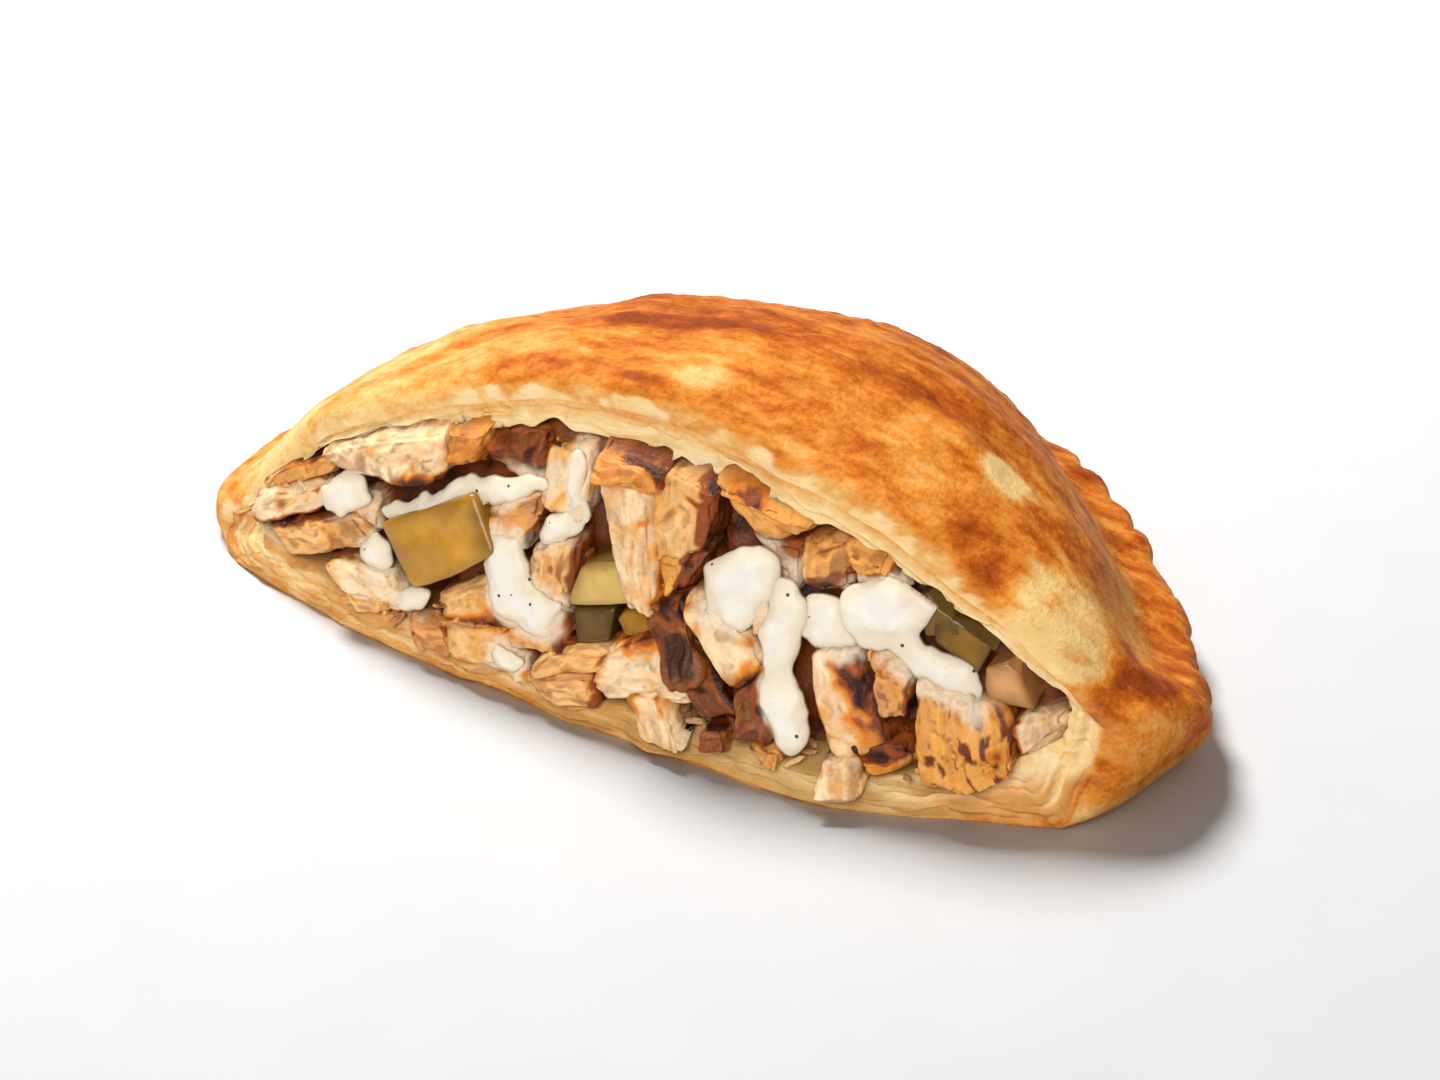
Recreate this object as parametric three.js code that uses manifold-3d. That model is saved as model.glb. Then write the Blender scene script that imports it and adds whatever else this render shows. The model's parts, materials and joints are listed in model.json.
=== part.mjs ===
// Chicken shawarma pie: a half-moon bread pie, crimped to a rope round its back and cut open along its front.
// Millimetres, +Z up. X runs along the cut, which faces -Y. The origin is under the middle of the whole pie.
import * as THREE from 'three';
import { ConvexGeometry } from 'three/addons/geometries/ConvexGeometry.js';
import { mergeVertices } from 'three/addons/utils/BufferGeometryUtils.js';
import Module from 'manifold-3d';

const wasm = await Module();
wasm.setup();

// Plan of the pie, measured from the foot of its crown: its reach to the right, left, back and front,
// how full each corner is, and where the fullness of the ends and of the back takes over.
const RIGHT = 96;
const LEFT = 107.5;
const BACK = 91;
const FRONT = 28.5;
const FULL_FRONT = 2.3;
const FULL_RIGHT = 1.51;
const FULL_LEFT = 2.0;
const FULL_BACK = 2.0;
const ENDS_FROM = 70;
const BACK_FROM = 25;
const FARTHEST = 300;
// The cut's upper lip stands this far in front of the crown, and the cut's ends are rounded in a little.
const LIP_Y = -11;
const TRIM_RIGHT = 0.07;
const TRIM_LEFT = 0.01;
const TRIM_SPREAD = 0.3;
const LEAN_DEPTH = 52;
// The lower lip bows most to the right of its middle, and falls back again towards the right end.
const BOW = { middle: 1.04, slope: 0.0021, from: -75, to: 24, fall: 0.006, fallFrom: 40 };

// Crown of the dome, how its shoulders fall on the left and right, and how far its front slope would reach.
const HEIGHT = 62;
const FALL_LEFT = 1.64;
const FALL_RIGHT = 2.0;
const FALL_Q = 0.67;
const FALL_TURNS = { from: -40, to: 40 };
const FRONT_SLOPE = 36;
const VALLEY = 12;
const SOFT_EDGE = 6;

// The lip sags to the right of its middle, dips once and stands proud once, and this fades behind it.
const LIP_SAG = { from: -12, to: 32, height: -4.2 };
const LIP_DIP = { at: 58, spread: 12, height: -1.2 };
const LIP_BUMP = { at: -72, spread: 14, height: 1.6 };
const LIP_FADE = 16;

// Soft swells in the baked skin, with the lengths of their waves.
const SWELL = { height: 0.6, lengthX: 55, lengthY: 48, startX: 0.1, startY: 0.17 };
const SLANT = { height: 0.5, lengthX: 88, lengthY: -68, start: 0.35 };

// Rope of folded dough round the edge, with its twisted crimps, and the angle at which the dome meets it.
const ROPE_W = 12;
const ROPE_H = 14;
const ROPE_MEETS = 132;
const CRIMPS = 27;
const CRIMP = 1.6;
const CRIMP_TWIST = 1.1;
const CRIMP_FLAT = 0.7;
const CRIMP_FADE = { ends: 1.12, full: 0.6 };
const CRIMP_RISE = 0.6;
const CRIMP_UNEVEN = { middle: 0.62, height: 0.38, first: 0.29, second: 0.13, startFirst: 0.1, startSecond: 0.4 };
const SMOOTH_LEFT = { from: 1.9, to: 2.6 };
// At the ends of the cut the rope grows, as shares of its size, and the dome runs straight into it.
const RIGHT_SPREAD = 0.24;
const LEFT_SPREAD = 0.36;
const LOBE_MEETS = 108;
const RIGHT_LOBE = { width: 0.42, height: 0.78, waist: 0.17 };
const LEFT_LOBE = { width: 0.1, height: -0.18, waist: -0.12 };

// Dough round the cavity, and the air left between one node and the next.
const CEILING = 7.5;
const FLOOR = 5.5;
const WALL = 16.5;
const WALL_RIGHT = 9.5;
const WALL_LEFT = 8.5;
const RIM_Z = 12;
const RIM_RISE = { right: 8, left: -3.5 };
const RIM_ROUND = 9;
const CEILING_GAP = 1.6;
const GAP = 0.4;
const NODE_GAP = 0.35;
const HEART_GAP = 0.5;

// How far the heart of the heap lies behind the cut, and how deep the pieces in front of it go.
const HEART_BACK = 6;
const CHUNK_DEPTH = 15;
const PLUG_AHEAD = 12;

// Steps round the rope, along its edge and along the lip, and halvings of a search.
const TURNS = 144;
const EDGE_STEPS = 400;
const LIP_STEPS = 40;
const HALVINGS = 40;

// Rows of the crust from the lip's middle: shares of the dome, the rope, the underside and the cavity.
const DOME_ROWS = [0.12, 0.25, 0.38, 0.5, 0.61, 0.71, 0.8, 0.88, 0.95];
const ROPE_ROWS = [0, 0.14, 0.28, 0.42, 0.57, 0.72, 0.86];
const UNDER_ROWS = [0, 0.2, 0.4, 0.6, 0.8];
const FLOOR_ROWS = [0.3, 0.55, 0.75, 0.88, 0.96];
const CEILING_ROWS = [1, 0.95, 0.86, 0.72, 0.54, 0.3];

// A slab of the filling: how far its sides swell, and how its front tilts along and up the cut.
const SIDE_SWELL = 0.5;
const TILT = { up: 0.09, along: -0.06 };
// A drop of sauce: corners round it, and how square and uneven its outline is.
const CORNERS = 7;
const SQUARE = 0.62;
const UNEVEN = { least: 0.92, most: 1.12 };
// Rings of a piece: how far back each lies and how full it is.
const CHUNK = [[0, 0.74], [0.22, 1], [1, 0.8]];
const SLICE = [[0, 0.95], [0.15, 1], [1, 0.9]];
const BLOB = [[0, 0.45], [0.14, 0.82], [0.42, 1], [1, 0.7]];

const clamp = (v, low, high) => Math.min(high, Math.max(low, v));
const mix = (a, b, t) => a + (b - a) * t;
const near = (distance, spread) => Math.exp(-((distance / spread) ** 2));
const wave = (turns) => Math.sin(2 * Math.PI * turns);

// A fixed draw from 0 to 1 for each number.
const chance = (n) => Math.abs(Math.sin(n * 127.1) * 43758.5453) % 1;

function ease(t) {
  const c = clamp(t, 0, 1);
  return c * c * (3 - 2 * c);
}

// Distance of a point from the crown's foot as a share of the plan's edge.
function share(x, y, front) {
  const a = x > 0 ? RIGHT : LEFT;
  const b = y < 0 ? front : BACK;
  const back = mix(FULL_BACK, x > 0 ? FULL_RIGHT : FULL_LEFT, ease(Math.abs(x) / ENDS_FROM));
  const n = y < 0 ? FULL_FRONT : mix(FULL_FRONT, back, ease(y / BACK_FROM));
  return (Math.abs(x / a) ** n + Math.abs(y / b) ** n) ** (1 / n);
}

// How far the pie's edge lies from the lip's middle at an angle: 0 is the right end of the cut, pi its left.
function reach(theta) {
  let low = 0;
  let high = FARTHEST;
  for (let i = 0; i < HALVINGS; i += 1) {
    const mid = (low + high) / 2;
    const inside = share(mid * Math.cos(theta), LIP_Y + mid * Math.sin(theta), FRONT) < 1;
    if (inside) low = mid;
    else high = mid;
  }
  const right = near(theta, TRIM_SPREAD);
  const left = near(Math.PI - theta, TRIM_SPREAD);
  return low * (1 - TRIM_RIGHT * right - TRIM_LEFT * left);
}

// Length along the edge up to an angle, which spaces the crimps evenly.
const edgeLengths = [0];
for (let i = 1; i <= EDGE_STEPS; i += 1) {
  const a = (Math.PI * (i - 1)) / EDGE_STEPS;
  const b = (Math.PI * i) / EDGE_STEPS;
  const dx = reach(b) * Math.cos(b) - reach(a) * Math.cos(a);
  const dy = reach(b) * Math.sin(b) - reach(a) * Math.sin(a);
  edgeLengths.push(edgeLengths[i - 1] + Math.hypot(dx, dy));
}

function crimpPhase(theta) {
  const s = clamp((theta / Math.PI) * EDGE_STEPS, 0, EDGE_STEPS);
  const i = Math.min(EDGE_STEPS - 1, Math.floor(s));
  const along = mix(edgeLengths[i], edgeLengths[i + 1], s - i);
  return (2 * Math.PI * CRIMPS * along) / edgeLengths[EDGE_STEPS];
}

// The edge at an angle: rope width and height, where the dome meets it, and the cavity's rim.
function edge(theta) {
  const right = near(theta, RIGHT_SPREAD);
  const left = near(Math.PI - theta, LEFT_SPREAD);
  const out = reach(theta);
  const w = ROPE_W * (1 + RIGHT_LOBE.width * right + LEFT_LOBE.width * left);
  const h = ROPE_H * (1 + RIGHT_LOBE.height * right + LEFT_LOBE.height * left);
  const start = THREE.MathUtils.degToRad(mix(ROPE_MEETS, LOBE_MEETS, right + left));
  const waist = 0.5 + RIGHT_LOBE.waist * right + LEFT_LOBE.waist * left;
  const foot = out - w / 2 + (w / 2) * Math.cos(start);
  const footZ = h * (waist + (1 - waist) * Math.sin(start));
  const x = foot * Math.cos(theta);
  const y = LIP_Y + foot * Math.sin(theta);
  const footShare = share(x, y, FRONT_SLOPE);
  const rim = out - WALL + (WALL - WALL_RIGHT) * right + (WALL - WALL_LEFT) * left;
  const rimZ = RIM_Z + RIM_RISE.right * right + RIM_RISE.left * left;
  return { out, w, h, start, waist, foot, footZ, footShare, rim, rimZ };
}

function polar(theta, rho, z) {
  return new THREE.Vector3(rho * Math.cos(theta), LIP_Y + rho * Math.sin(theta), z);
}

function lipRise(x) {
  const sag = LIP_SAG.height * ease((x - LIP_SAG.from) / (LIP_SAG.to - LIP_SAG.from));
  const dip = LIP_DIP.height * near(x - LIP_DIP.at, LIP_DIP.spread);
  return sag + dip + LIP_BUMP.height * near(x - LIP_BUMP.at, LIP_BUMP.spread);
}

function swell(x, y) {
  const cross = wave(x / SWELL.lengthX + SWELL.startX) * wave(y / SWELL.lengthY + SWELL.startY);
  const slant = wave(x / SLANT.lengthX + y / SLANT.lengthY + SLANT.start);
  return SWELL.height * cross + SLANT.height * slant;
}

// Height of the baked top at a share u of the way from the lip's middle to the rope.
function domeHeight(theta, e, u) {
  const rho = u * e.foot;
  const x = rho * Math.cos(theta);
  const y = LIP_Y + rho * Math.sin(theta);
  const first = -LIP_Y / FRONT_SLOPE;
  const r = share(x, y, FRONT_SLOPE);
  const s = clamp(first + ((r - first) * (1 - first)) / (e.footShare - first), 0, 1);
  const valley = mix(VALLEY, e.footZ, u * u);
  const lip = lipRise(x) * near(y - LIP_Y, LIP_FADE);
  const soft = 1 - u ** SOFT_EDGE;
  const fall = mix(FALL_LEFT, FALL_RIGHT, ease((x - FALL_TURNS.from) / (FALL_TURNS.to - FALL_TURNS.from)));
  return valley + (HEIGHT - valley) * (1 - s ** fall) ** FALL_Q + (lip + swell(x, y)) * soft;
}

function domePoint(theta, u) {
  const e = edge(theta);
  return polar(theta, u * e.foot, domeHeight(theta, e, u));
}

// Height of the folds round the rope as a share: uneven, and none towards the ends of the cut.
function crimpHeight(theta) {
  const count = crimpPhase(theta) / (2 * Math.PI);
  const u = CRIMP_UNEVEN;
  const slow = wave(u.first * count + u.startFirst) * wave(u.second * count + u.startSecond);
  const left = ease((theta - SMOOTH_LEFT.from) / (SMOOTH_LEFT.to - SMOOTH_LEFT.from));
  return (u.middle + u.height * slow) * (1 - near(theta, RIGHT_SPREAD)) * (1 - left);
}

function ropePoint(theta, f) {
  const e = edge(theta);
  const phi = mix(e.start, -Math.PI / 2, f);
  const fold = Math.abs(Math.cos(crimpPhase(theta) / 2 + CRIMP_TWIST * phi)) ** CRIMP_FLAT;
  const fade = Math.sin(Math.PI * Math.min(1, f * CRIMP_FADE.ends)) ** CRIMP_FADE.full;
  const c = fold * fade * CRIMP * crimpHeight(theta);
  const half = phi > 0 ? 1 - e.waist : e.waist;
  const rho = e.out - e.w / 2 + (e.w / 2 + c) * Math.cos(phi);
  const z = e.h * (e.waist + half * Math.sin(phi)) + CRIMP_RISE * c * Math.max(0, Math.sin(phi));
  return polar(theta, rho, f === 1 ? 0 : z);
}

function underPoint(theta, v) {
  const e = edge(theta);
  return polar(theta, (e.out - e.w / 2) * (1 - v), 0);
}

// Cavity: a low floor, a ceiling that follows the dome, and a rim where the two meet.
const lipMiddle = domeHeight(Math.PI / 2, edge(Math.PI / 2), 0);

function floorPoint(theta, u, gap) {
  const e = edge(theta);
  return polar(theta, u * (e.rim - gap), mix(FLOOR + gap, e.rimZ, u ** RIM_ROUND));
}

function ceilingPoint(theta, u, gap) {
  const e = edge(theta);
  const top = domeHeight(theta, e, u);
  const rise = (lipMiddle - CEILING - e.rimZ) / (lipMiddle - e.footZ);
  const z = e.rimZ + (top - e.footZ) * rise - gap * CEILING_GAP * (1 - u ** RIM_ROUND);
  return polar(theta, u * (e.rim - gap), z);
}

// Height of the lip along the cut, from its own two profiles.
const lipLine = [];
for (let i = LIP_STEPS; i >= 1; i -= 1) lipLine.push(domePoint(Math.PI, i / LIP_STEPS));
for (let i = 0; i <= LIP_STEPS; i += 1) lipLine.push(domePoint(0, i / LIP_STEPS));

function lipHeight(x) {
  if (x <= lipLine[0].x) return lipLine[0].z;
  for (let i = 1; i < lipLine.length; i += 1) {
    const a = lipLine[i - 1];
    const b = lipLine[i];
    if (x <= b.x) return mix(a.z, b.z, (x - a.x) / (b.x - a.x));
  }
  return lipLine[lipLine.length - 1].z;
}

// The lower lip bows forward of the upper one, so the opening leans back.
function lean(p) {
  const a = p.x > 0 ? RIGHT : LEFT;
  const skew = BOW.middle + BOW.slope * clamp(p.x, BOW.from, BOW.to) - BOW.fall * Math.max(0, p.x - BOW.fallFrom);
  const bow = skew * FRONT * (1 - Math.min(1, Math.abs(p.x / a)) ** FULL_FRONT) ** (1 / FULL_FRONT) + LIP_Y;
  const low = clamp(1 - p.z / lipHeight(p.x), 0, 1);
  const close = 1 - ease((p.y - LIP_Y) / LEAN_DEPTH);
  return new THREE.Vector3(p.x, p.y - Math.max(0, bow) * low * close, p.z);
}

// Mesh under construction: shared vertices and triangles.
function sheet() {
  const points = [];
  const faces = [];
  const add = (p) => points.push(p) - 1;
  const tri = (a, b, c) => faces.push(a, b, c);
  // Joins two rows of one count, or of which one has twice the steps of the other, or is a single point.
  const strip = (near, far) => {
    if (near.length === 1) {
      for (let j = 1; j < far.length; j += 1) tri(near[0], far[j - 1], far[j]);
    } else if (far.length === 1) {
      for (let j = 1; j < near.length; j += 1) tri(near[j - 1], far[0], near[j]);
    } else if (near.length === far.length) {
      for (let j = 1; j < near.length; j += 1) {
        tri(near[j - 1], far[j - 1], far[j]);
        tri(near[j - 1], far[j], near[j]);
      }
    } else if (near.length < far.length) {
      for (let j = 1; j < near.length; j += 1) {
        tri(near[j - 1], far[2 * j - 2], far[2 * j - 1]);
        tri(near[j - 1], far[2 * j - 1], near[j]);
        tri(near[j], far[2 * j - 1], far[2 * j]);
      }
    } else {
      for (let j = 1; j < far.length; j += 1) {
        tri(near[2 * j - 2], far[j - 1], near[2 * j - 1]);
        tri(near[2 * j - 1], far[j - 1], far[j]);
        tri(near[2 * j - 1], far[j], near[2 * j]);
      }
    }
  };
  const turnOver = () => {
    for (let i = 0; i < faces.length; i += 3) {
      [faces[i + 1], faces[i + 2]] = [faces[i + 2], faces[i + 1]];
    }
  };
  return { points, faces, add, tri, strip, turnOver };
}

function fan(make, steps) {
  const row = [];
  for (let j = 0; j <= steps; j += 1) row.push(make((Math.PI * j) / steps));
  return row;
}

// Fills a flat loop seen from the front. Each entry holds its vertex and its place along and up the cut.
function fill(s, loop) {
  const flat = loop.map((v) => new THREE.Vector2(v.x, v.z));
  for (const [a, b, c] of THREE.ShapeUtils.triangulateShape(flat, [])) {
    const ab = flat[b].clone().sub(flat[a]);
    const ac = flat[c].clone().sub(flat[a]);
    const turns = ab.cross(ac) > 0;
    if (turns) s.tri(loop[a].id, loop[b].id, loop[c].id);
    else s.tri(loop[a].id, loop[c].id, loop[b].id);
  }
}

function solidOf(s) {
  const g = new THREE.BufferGeometry().setFromPoints(s.points);
  g.setIndex(s.faces);
  return solidFrom(g);
}

function solidFrom(geometry) {
  const bare = new THREE.BufferGeometry();
  bare.setAttribute('position', geometry.getAttribute('position'));
  if (geometry.index) bare.setIndex(geometry.index);
  const g = mergeVertices(bare, 1e-4);
  const vertProperties = g.attributes.position.array;
  const triVerts = new Uint32Array(g.index.array);
  return new wasm.Manifold(new wasm.Mesh({ numProp: 3, vertProperties, triVerts }));
}

// Crust: baked dome, crimped rope, flat underside, and the cavity's floor and ceiling, closed by the cut.
function crust() {
  const s = sheet();
  const half = TURNS / 2;
  const row = (make, steps) => fan((theta) => s.add(make(theta)), steps);
  const outer = [[s.add(domePoint(0, 0))]];
  for (const u of DOME_ROWS) outer.push(row((t) => domePoint(t, u), half));
  for (const f of ROPE_ROWS) outer.push(row((t) => ropePoint(t, f), TURNS));
  for (const v of UNDER_ROWS) outer.push(row((t) => underPoint(t, v), half));
  outer.push([s.add(underPoint(0, 1))]);
  const inner = [[s.add(floorPoint(0, 0, 0))]];
  for (const u of FLOOR_ROWS) inner.push(row((t) => floorPoint(t, u, 0), half));
  for (const u of CEILING_ROWS) inner.push(row((t) => ceilingPoint(t, u, 0), half));
  inner.push([s.add(ceilingPoint(0, 0, 0))]);
  for (let i = 1; i < outer.length; i += 1) s.strip(outer[i - 1], outer[i]);
  for (let i = 1; i < inner.length; i += 1) s.strip(inner[i - 1], inner[i]);
  for (const end of ['first', 'last']) {
    const pick = (r) => (end === 'first' ? r[0] : r[r.length - 1]);
    const ids = [...outer.map(pick), ...inner.map(pick)];
    fill(s, ids.map((id) => ({ id, x: s.points[id].x, z: s.points[id].z })));
  }
  return solidOf(s);
}

// What fits in the cavity with air all round, carried forward out of the cut.
function plug(gap) {
  const s = sheet();
  const steps = TURNS / 4;
  const row = (make) => fan((theta) => s.add(make(theta)), steps);
  const rows = [[s.add(floorPoint(0, 0, gap))]];
  for (const u of FLOOR_ROWS) rows.push(row((t) => floorPoint(t, u, gap)));
  for (const u of CEILING_ROWS) rows.push(row((t) => ceilingPoint(t, u, gap)));
  rows.push([s.add(ceilingPoint(0, 0, gap))]);
  for (let i = 1; i < rows.length; i += 1) s.strip(rows[i - 1], rows[i]);
  s.turnOver();
  const rightSide = rows.map((r) => r[0]);
  const leftSide = rows.slice(1, -1).map((r) => r[r.length - 1]);
  const loop = [...rightSide, ...leftSide.reverse()];
  const ahead = loop.map((id) => s.add(s.points[id].clone().setY(LIP_Y - PLUG_AHEAD)));
  for (let i = 0; i < loop.length; i += 1) {
    const k = (i + 1) % loop.length;
    s.tri(ahead[i], loop[i], loop[k]);
    s.tri(ahead[i], loop[k], ahead[k]);
  }
  fill(s, ahead.map((id) => ({ id, x: s.points[id].x, z: s.points[id].z })));
  return solidOf(s);
}

// A slab in the opening, from its four corners along and up the cut, clockwise from its upper left.
function slab({ corners }, front, depth, rings, grow) {
  const flat = corners.map(([x, z]) => new THREE.Vector2(x, z));
  const middle = flat.reduce((sum, c) => sum.add(c), new THREE.Vector2()).divideScalar(flat.length);
  const sides = flat.map((c, i) => flat[(i + 1) % flat.length].clone().sub(c).normalize());
  const out = sides.map((d) => new THREE.Vector2(-d.y, d.x));
  const points = [];
  for (const [share, full] of rings) {
    const away = share === 0 ? -grow : share === 1 ? grow : 0;
    flat.forEach((c, i) => {
      const before = out[(i + flat.length - 1) % flat.length];
      const corner = before.clone().add(out[i]).multiplyScalar(grow / (1 + before.dot(out[i])));
      const half = flat[(i + 1) % flat.length].clone().add(c).divideScalar(2);
      const swollen = out[i].clone().multiplyScalar(SIDE_SWELL + grow);
      for (const [place, extra] of [[c, corner], [half, swollen]]) {
        const p = place.clone().sub(middle).multiplyScalar(full).add(extra);
        const y = LIP_Y - front + share * depth + away + TILT.up * p.y + TILT.along * p.x;
        points.push(new THREE.Vector3(middle.x + p.x, y, middle.y + p.y));
      }
    });
  }
  return solidFrom(new ConvexGeometry(points));
}

// A drop in the opening: a rounded, uneven outline along and up the cut, drawn in at its front and back.
function drop({ at, size, turn }, front, depth, rings, grow) {
  const spin = THREE.MathUtils.degToRad(turn);
  const axis = new THREE.Vector3(0, -1, 0);
  const points = [];
  for (const [share, full] of rings) {
    const away = share === 0 ? -grow : share === 1 ? grow : 0;
    for (let k = 0; k < CORNERS; k += 1) {
      const a = ((k + 0.5) * 2 * Math.PI) / CORNERS;
      const uneven = full * mix(UNEVEN.least, UNEVEN.most, chance(at[0] * 3 + at[1] + k * CORNERS));
      const c = Math.sign(Math.cos(a)) * Math.abs(Math.cos(a)) ** SQUARE;
      const s = Math.sign(Math.sin(a)) * Math.abs(Math.sin(a)) ** SQUARE;
      const p = new THREE.Vector3((size[0] / 2) * uneven + grow, 0, (size[1] / 2) * uneven + grow);
      p.multiply(new THREE.Vector3(c, 0, s)).applyAxisAngle(axis, spin);
      const tilt = TILT.up * p.z + TILT.along * p.x;
      points.push(p.add(new THREE.Vector3(at[0], LIP_Y - front + share * depth + away + tilt, at[1])));
    }
  }
  return solidFrom(new ConvexGeometry(points));
}

function joined({ slabs, drops, front, depth }, rings, grow) {
  const make = slabs ? slab : drop;
  return (slabs ?? drops).map((l) => make(l, front, depth, rings, grow)).reduce((a, b) => a.add(b));
}

// Chicken pieces seen in the opening, from left to right: their corners along and up the cut,
// clockwise from the upper left, and how far each stands out of the cut.
const CHICKEN = [
  { corners: [[-91, 18], [-74, 28], [-72, 25], [-91, 14]], front: -2 },
  { corners: [[-91, 15], [-75, 23], [-74, 18], [-93, 8]], front: -0.5 },
  { corners: [[-88, 10], [-67, 20], [-60, 16], [-81, 7]], front: 0.5 },
  { corners: [[-67, 23], [-60, 25], [-59, 19], [-67, 18]], front: -0.5 },
  { corners: [[-72, 31], [-48, 42], [-45, 33], [-65, 26]], front: 0.5 },
  { corners: [[-48, 43], [-38, 46], [-38, 37], [-47, 35]], front: 0 },
  { corners: [[-39, 44], [-27, 47], [-26, 39], [-39, 36]], front: -1.5 },
  { corners: [[-30, 46], [-17, 49], [-16, 45], [-29, 42]], front: -3 },
  { corners: [[-26, 45], [-15, 48], [-15, 35], [-26, 35]], front: -0.5 },
  { corners: [[-38, 33], [-23, 37], [-25, 27], [-34, 26]], front: 0.5 },
  { corners: [[-25, 29], [-16, 32], [-16, 18], [-25, 20]], front: 1.2 },
  { corners: [[-44, 13], [-30, 22], [-26, 13], [-45, 7]], front: 1 },
  { corners: [[-29, 14], [-16, 20], [-15, 12], [-26, 9]], front: 1.5 },
  { corners: [[-19, 12], [-5, 17], [-6, 12], [-21, 6]], front: 2.5 },
  { corners: [[-69, 11], [-55, 14], [-48, 8], [-57, 5]], front: 1.8 },
  { corners: [[-43, 8], [-28, 12], [-23, 7], [-38, 4]], front: 2.5 },
  { corners: [[-15, 46], [-2, 48], [3, 27], [-4, 24]], front: 2.5 },
  { corners: [[-14, 50], [-2, 54], [0, 46], [-13, 45]], front: 2.8 },
  { corners: [[-3, 47], [8, 49], [10, 37], [0, 33]], front: 1.8 },
  { corners: [[0, 35], [8, 37], [8, 30], [1, 26]], front: 1.5 },
  { corners: [[-4, 50], [5, 52], [5, 46], [-3, 45]], front: -2 },
  { corners: [[9, 47], [17, 52], [29, 43], [19, 39]], front: 0.5 },
  { corners: [[15, 40], [26, 41], [27, 33], [21, 34]], front: -0.8 },
  { corners: [[26, 41], [33, 44], [36, 34], [28, 34]], front: 0.3 },
  { corners: [[32, 42], [40, 43], [46, 37], [36, 35]], front: -0.3 },
  { corners: [[7, 28], [11, 31], [24, 22], [18, 15]], front: 2.5 },
  { corners: [[1, 26], [7, 28], [13, 16], [7, 12]], front: 0.8 },
  { corners: [[8, 14], [13, 18], [22, 11], [15, 9]], front: 1.2 },
  { corners: [[19, 15], [25, 20], [27, 9], [21, 8]], front: 0.8 },
  { corners: [[-6, 18], [5, 22], [12, 11], [-8, 8]], front: 2.5 },
  { corners: [[30, 27], [41, 28], [50, 12], [40, 6]], front: 3.5 },
  { corners: [[40, 27], [49, 26], [50, 17], [46, 16]], front: 1.5 },
  { corners: [[42, 11], [51, 14], [54, 8], [44, 5]], front: 2.2 },
  { corners: [[52, 23], [64, 24], [72, 9], [54, 6]], front: 3.5 },
  { corners: [[68, 19], [75, 20], [75, 8], [70, 10]], front: 0.5 },
  { corners: [[19, 30], [23, 32], [24, 25], [20, 24]], front: 0.5 },
];

// Pickled cucumber pieces.
const PICKLES = [
  { front: 2.8, depth: 9, slabs: [{ corners: [[-58, 22], [-38, 34], [-32, 25], [-48, 12]] }] },
  { front: 0.5, depth: 8, slabs: [
    { corners: [[-15, 27], [-6, 31], [-1, 24], [-16, 20]] },
    { corners: [[-15, 20], [-7, 22], [-7, 16], [-13, 14]] },
  ] },
  { front: -1, depth: 8, slabs: [{ corners: [[-14, 28], [-9, 31], [-3, 25], [-10, 25]] }] },
  { front: -0.3, depth: 7, slabs: [{ corners: [[-7, 21], [1, 25], [3, 19], [-4, 18]] }] },
  { front: -0.3, depth: 8, slabs: [
    { corners: [[47, 36], [51, 39], [56, 31], [50, 30]] },
    { corners: [[51, 34], [62, 32], [60, 25], [52, 29]] },
  ] },
  { front: 0.2, depth: 7, slabs: [{ corners: [[61, 27], [66, 29], [70, 21], [62, 21]] }] },
];

// Dollops and drips of garlic sauce.
const SAUCE = [
  { front: 1.5, depth: 7, drops: [{ at: [-67, 24], size: [12.5, 7], turn: 27 }] },
  { front: 1.5, depth: 7, drops: [
    { at: [-48, 28.5], size: [24, 4.2], turn: 27 },
    { at: [-32, 36.5], size: [17, 4.2], turn: 23 },
  ] },
  { front: 1.5, depth: 7, drops: [
    { at: [-17, 41], size: [13, 4.2], turn: -87 },
    { at: [-20, 33], size: [10, 5], turn: 45 },
  ] },
  { front: 1.5, depth: 6, drops: [{ at: [-58, 15], size: [7.5, 6], turn: -34 }] },
  { front: 2.2, depth: 8, drops: [
    { at: [-29, 22.5], size: [14.5, 9], turn: -63 },
    { at: [-24, 18], size: [11.5, 8.5], turn: -9 },
  ] },
  { front: 2.5, depth: 6, drops: [{ at: [-48.5, 11], size: [6.5, 4.2], turn: 14 }] },
  { front: 2, depth: 8, drops: [
    { at: [17, 34], size: [14, 10], turn: 23 },
    { at: [17, 29], size: [10, 7.5], turn: -14 },
  ] },
  { front: 3.2, depth: 9, drops: [
    { at: [26, 26.5], size: [17, 6.5], turn: -81 },
    { at: [30, 14.5], size: [12.5, 8], turn: -63 },
  ] },
  { front: 1.5, depth: 8, drops: [
    { at: [43, 33.5], size: [15.5, 10], turn: 13 },
    { at: [53, 25.3], size: [18, 5.8], turn: -24 },
  ] },
  { front: 3.3, depth: 6, drops: [{ at: [-26, 8], size: [6.5, 4], turn: 11 }] },
  { front: 1.2, depth: 7, drops: [{ at: [33, 30], size: [11.5, 7], turn: -6 }] },
];

// The largest body of a solid, with the loose crumbs of a cut left out.
function largest(solid) {
  return solid.decompose().reduce((a, b) => (b.volume() > a.volume() ? b : a));
}

const room = plug(GAP);
const taken = [];

function fit(piece, rings) {
  let made = joined(piece, rings, 0).intersect(room);
  for (const other of taken) made = made.subtract(other);
  taken.push(joined(piece, rings, NODE_GAP));
  return largest(made);
}

const pickles = PICKLES.map((p) => fit(p, SLICE));
const sauces = SAUCE.map((p) => fit(p, BLOB));

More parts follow.
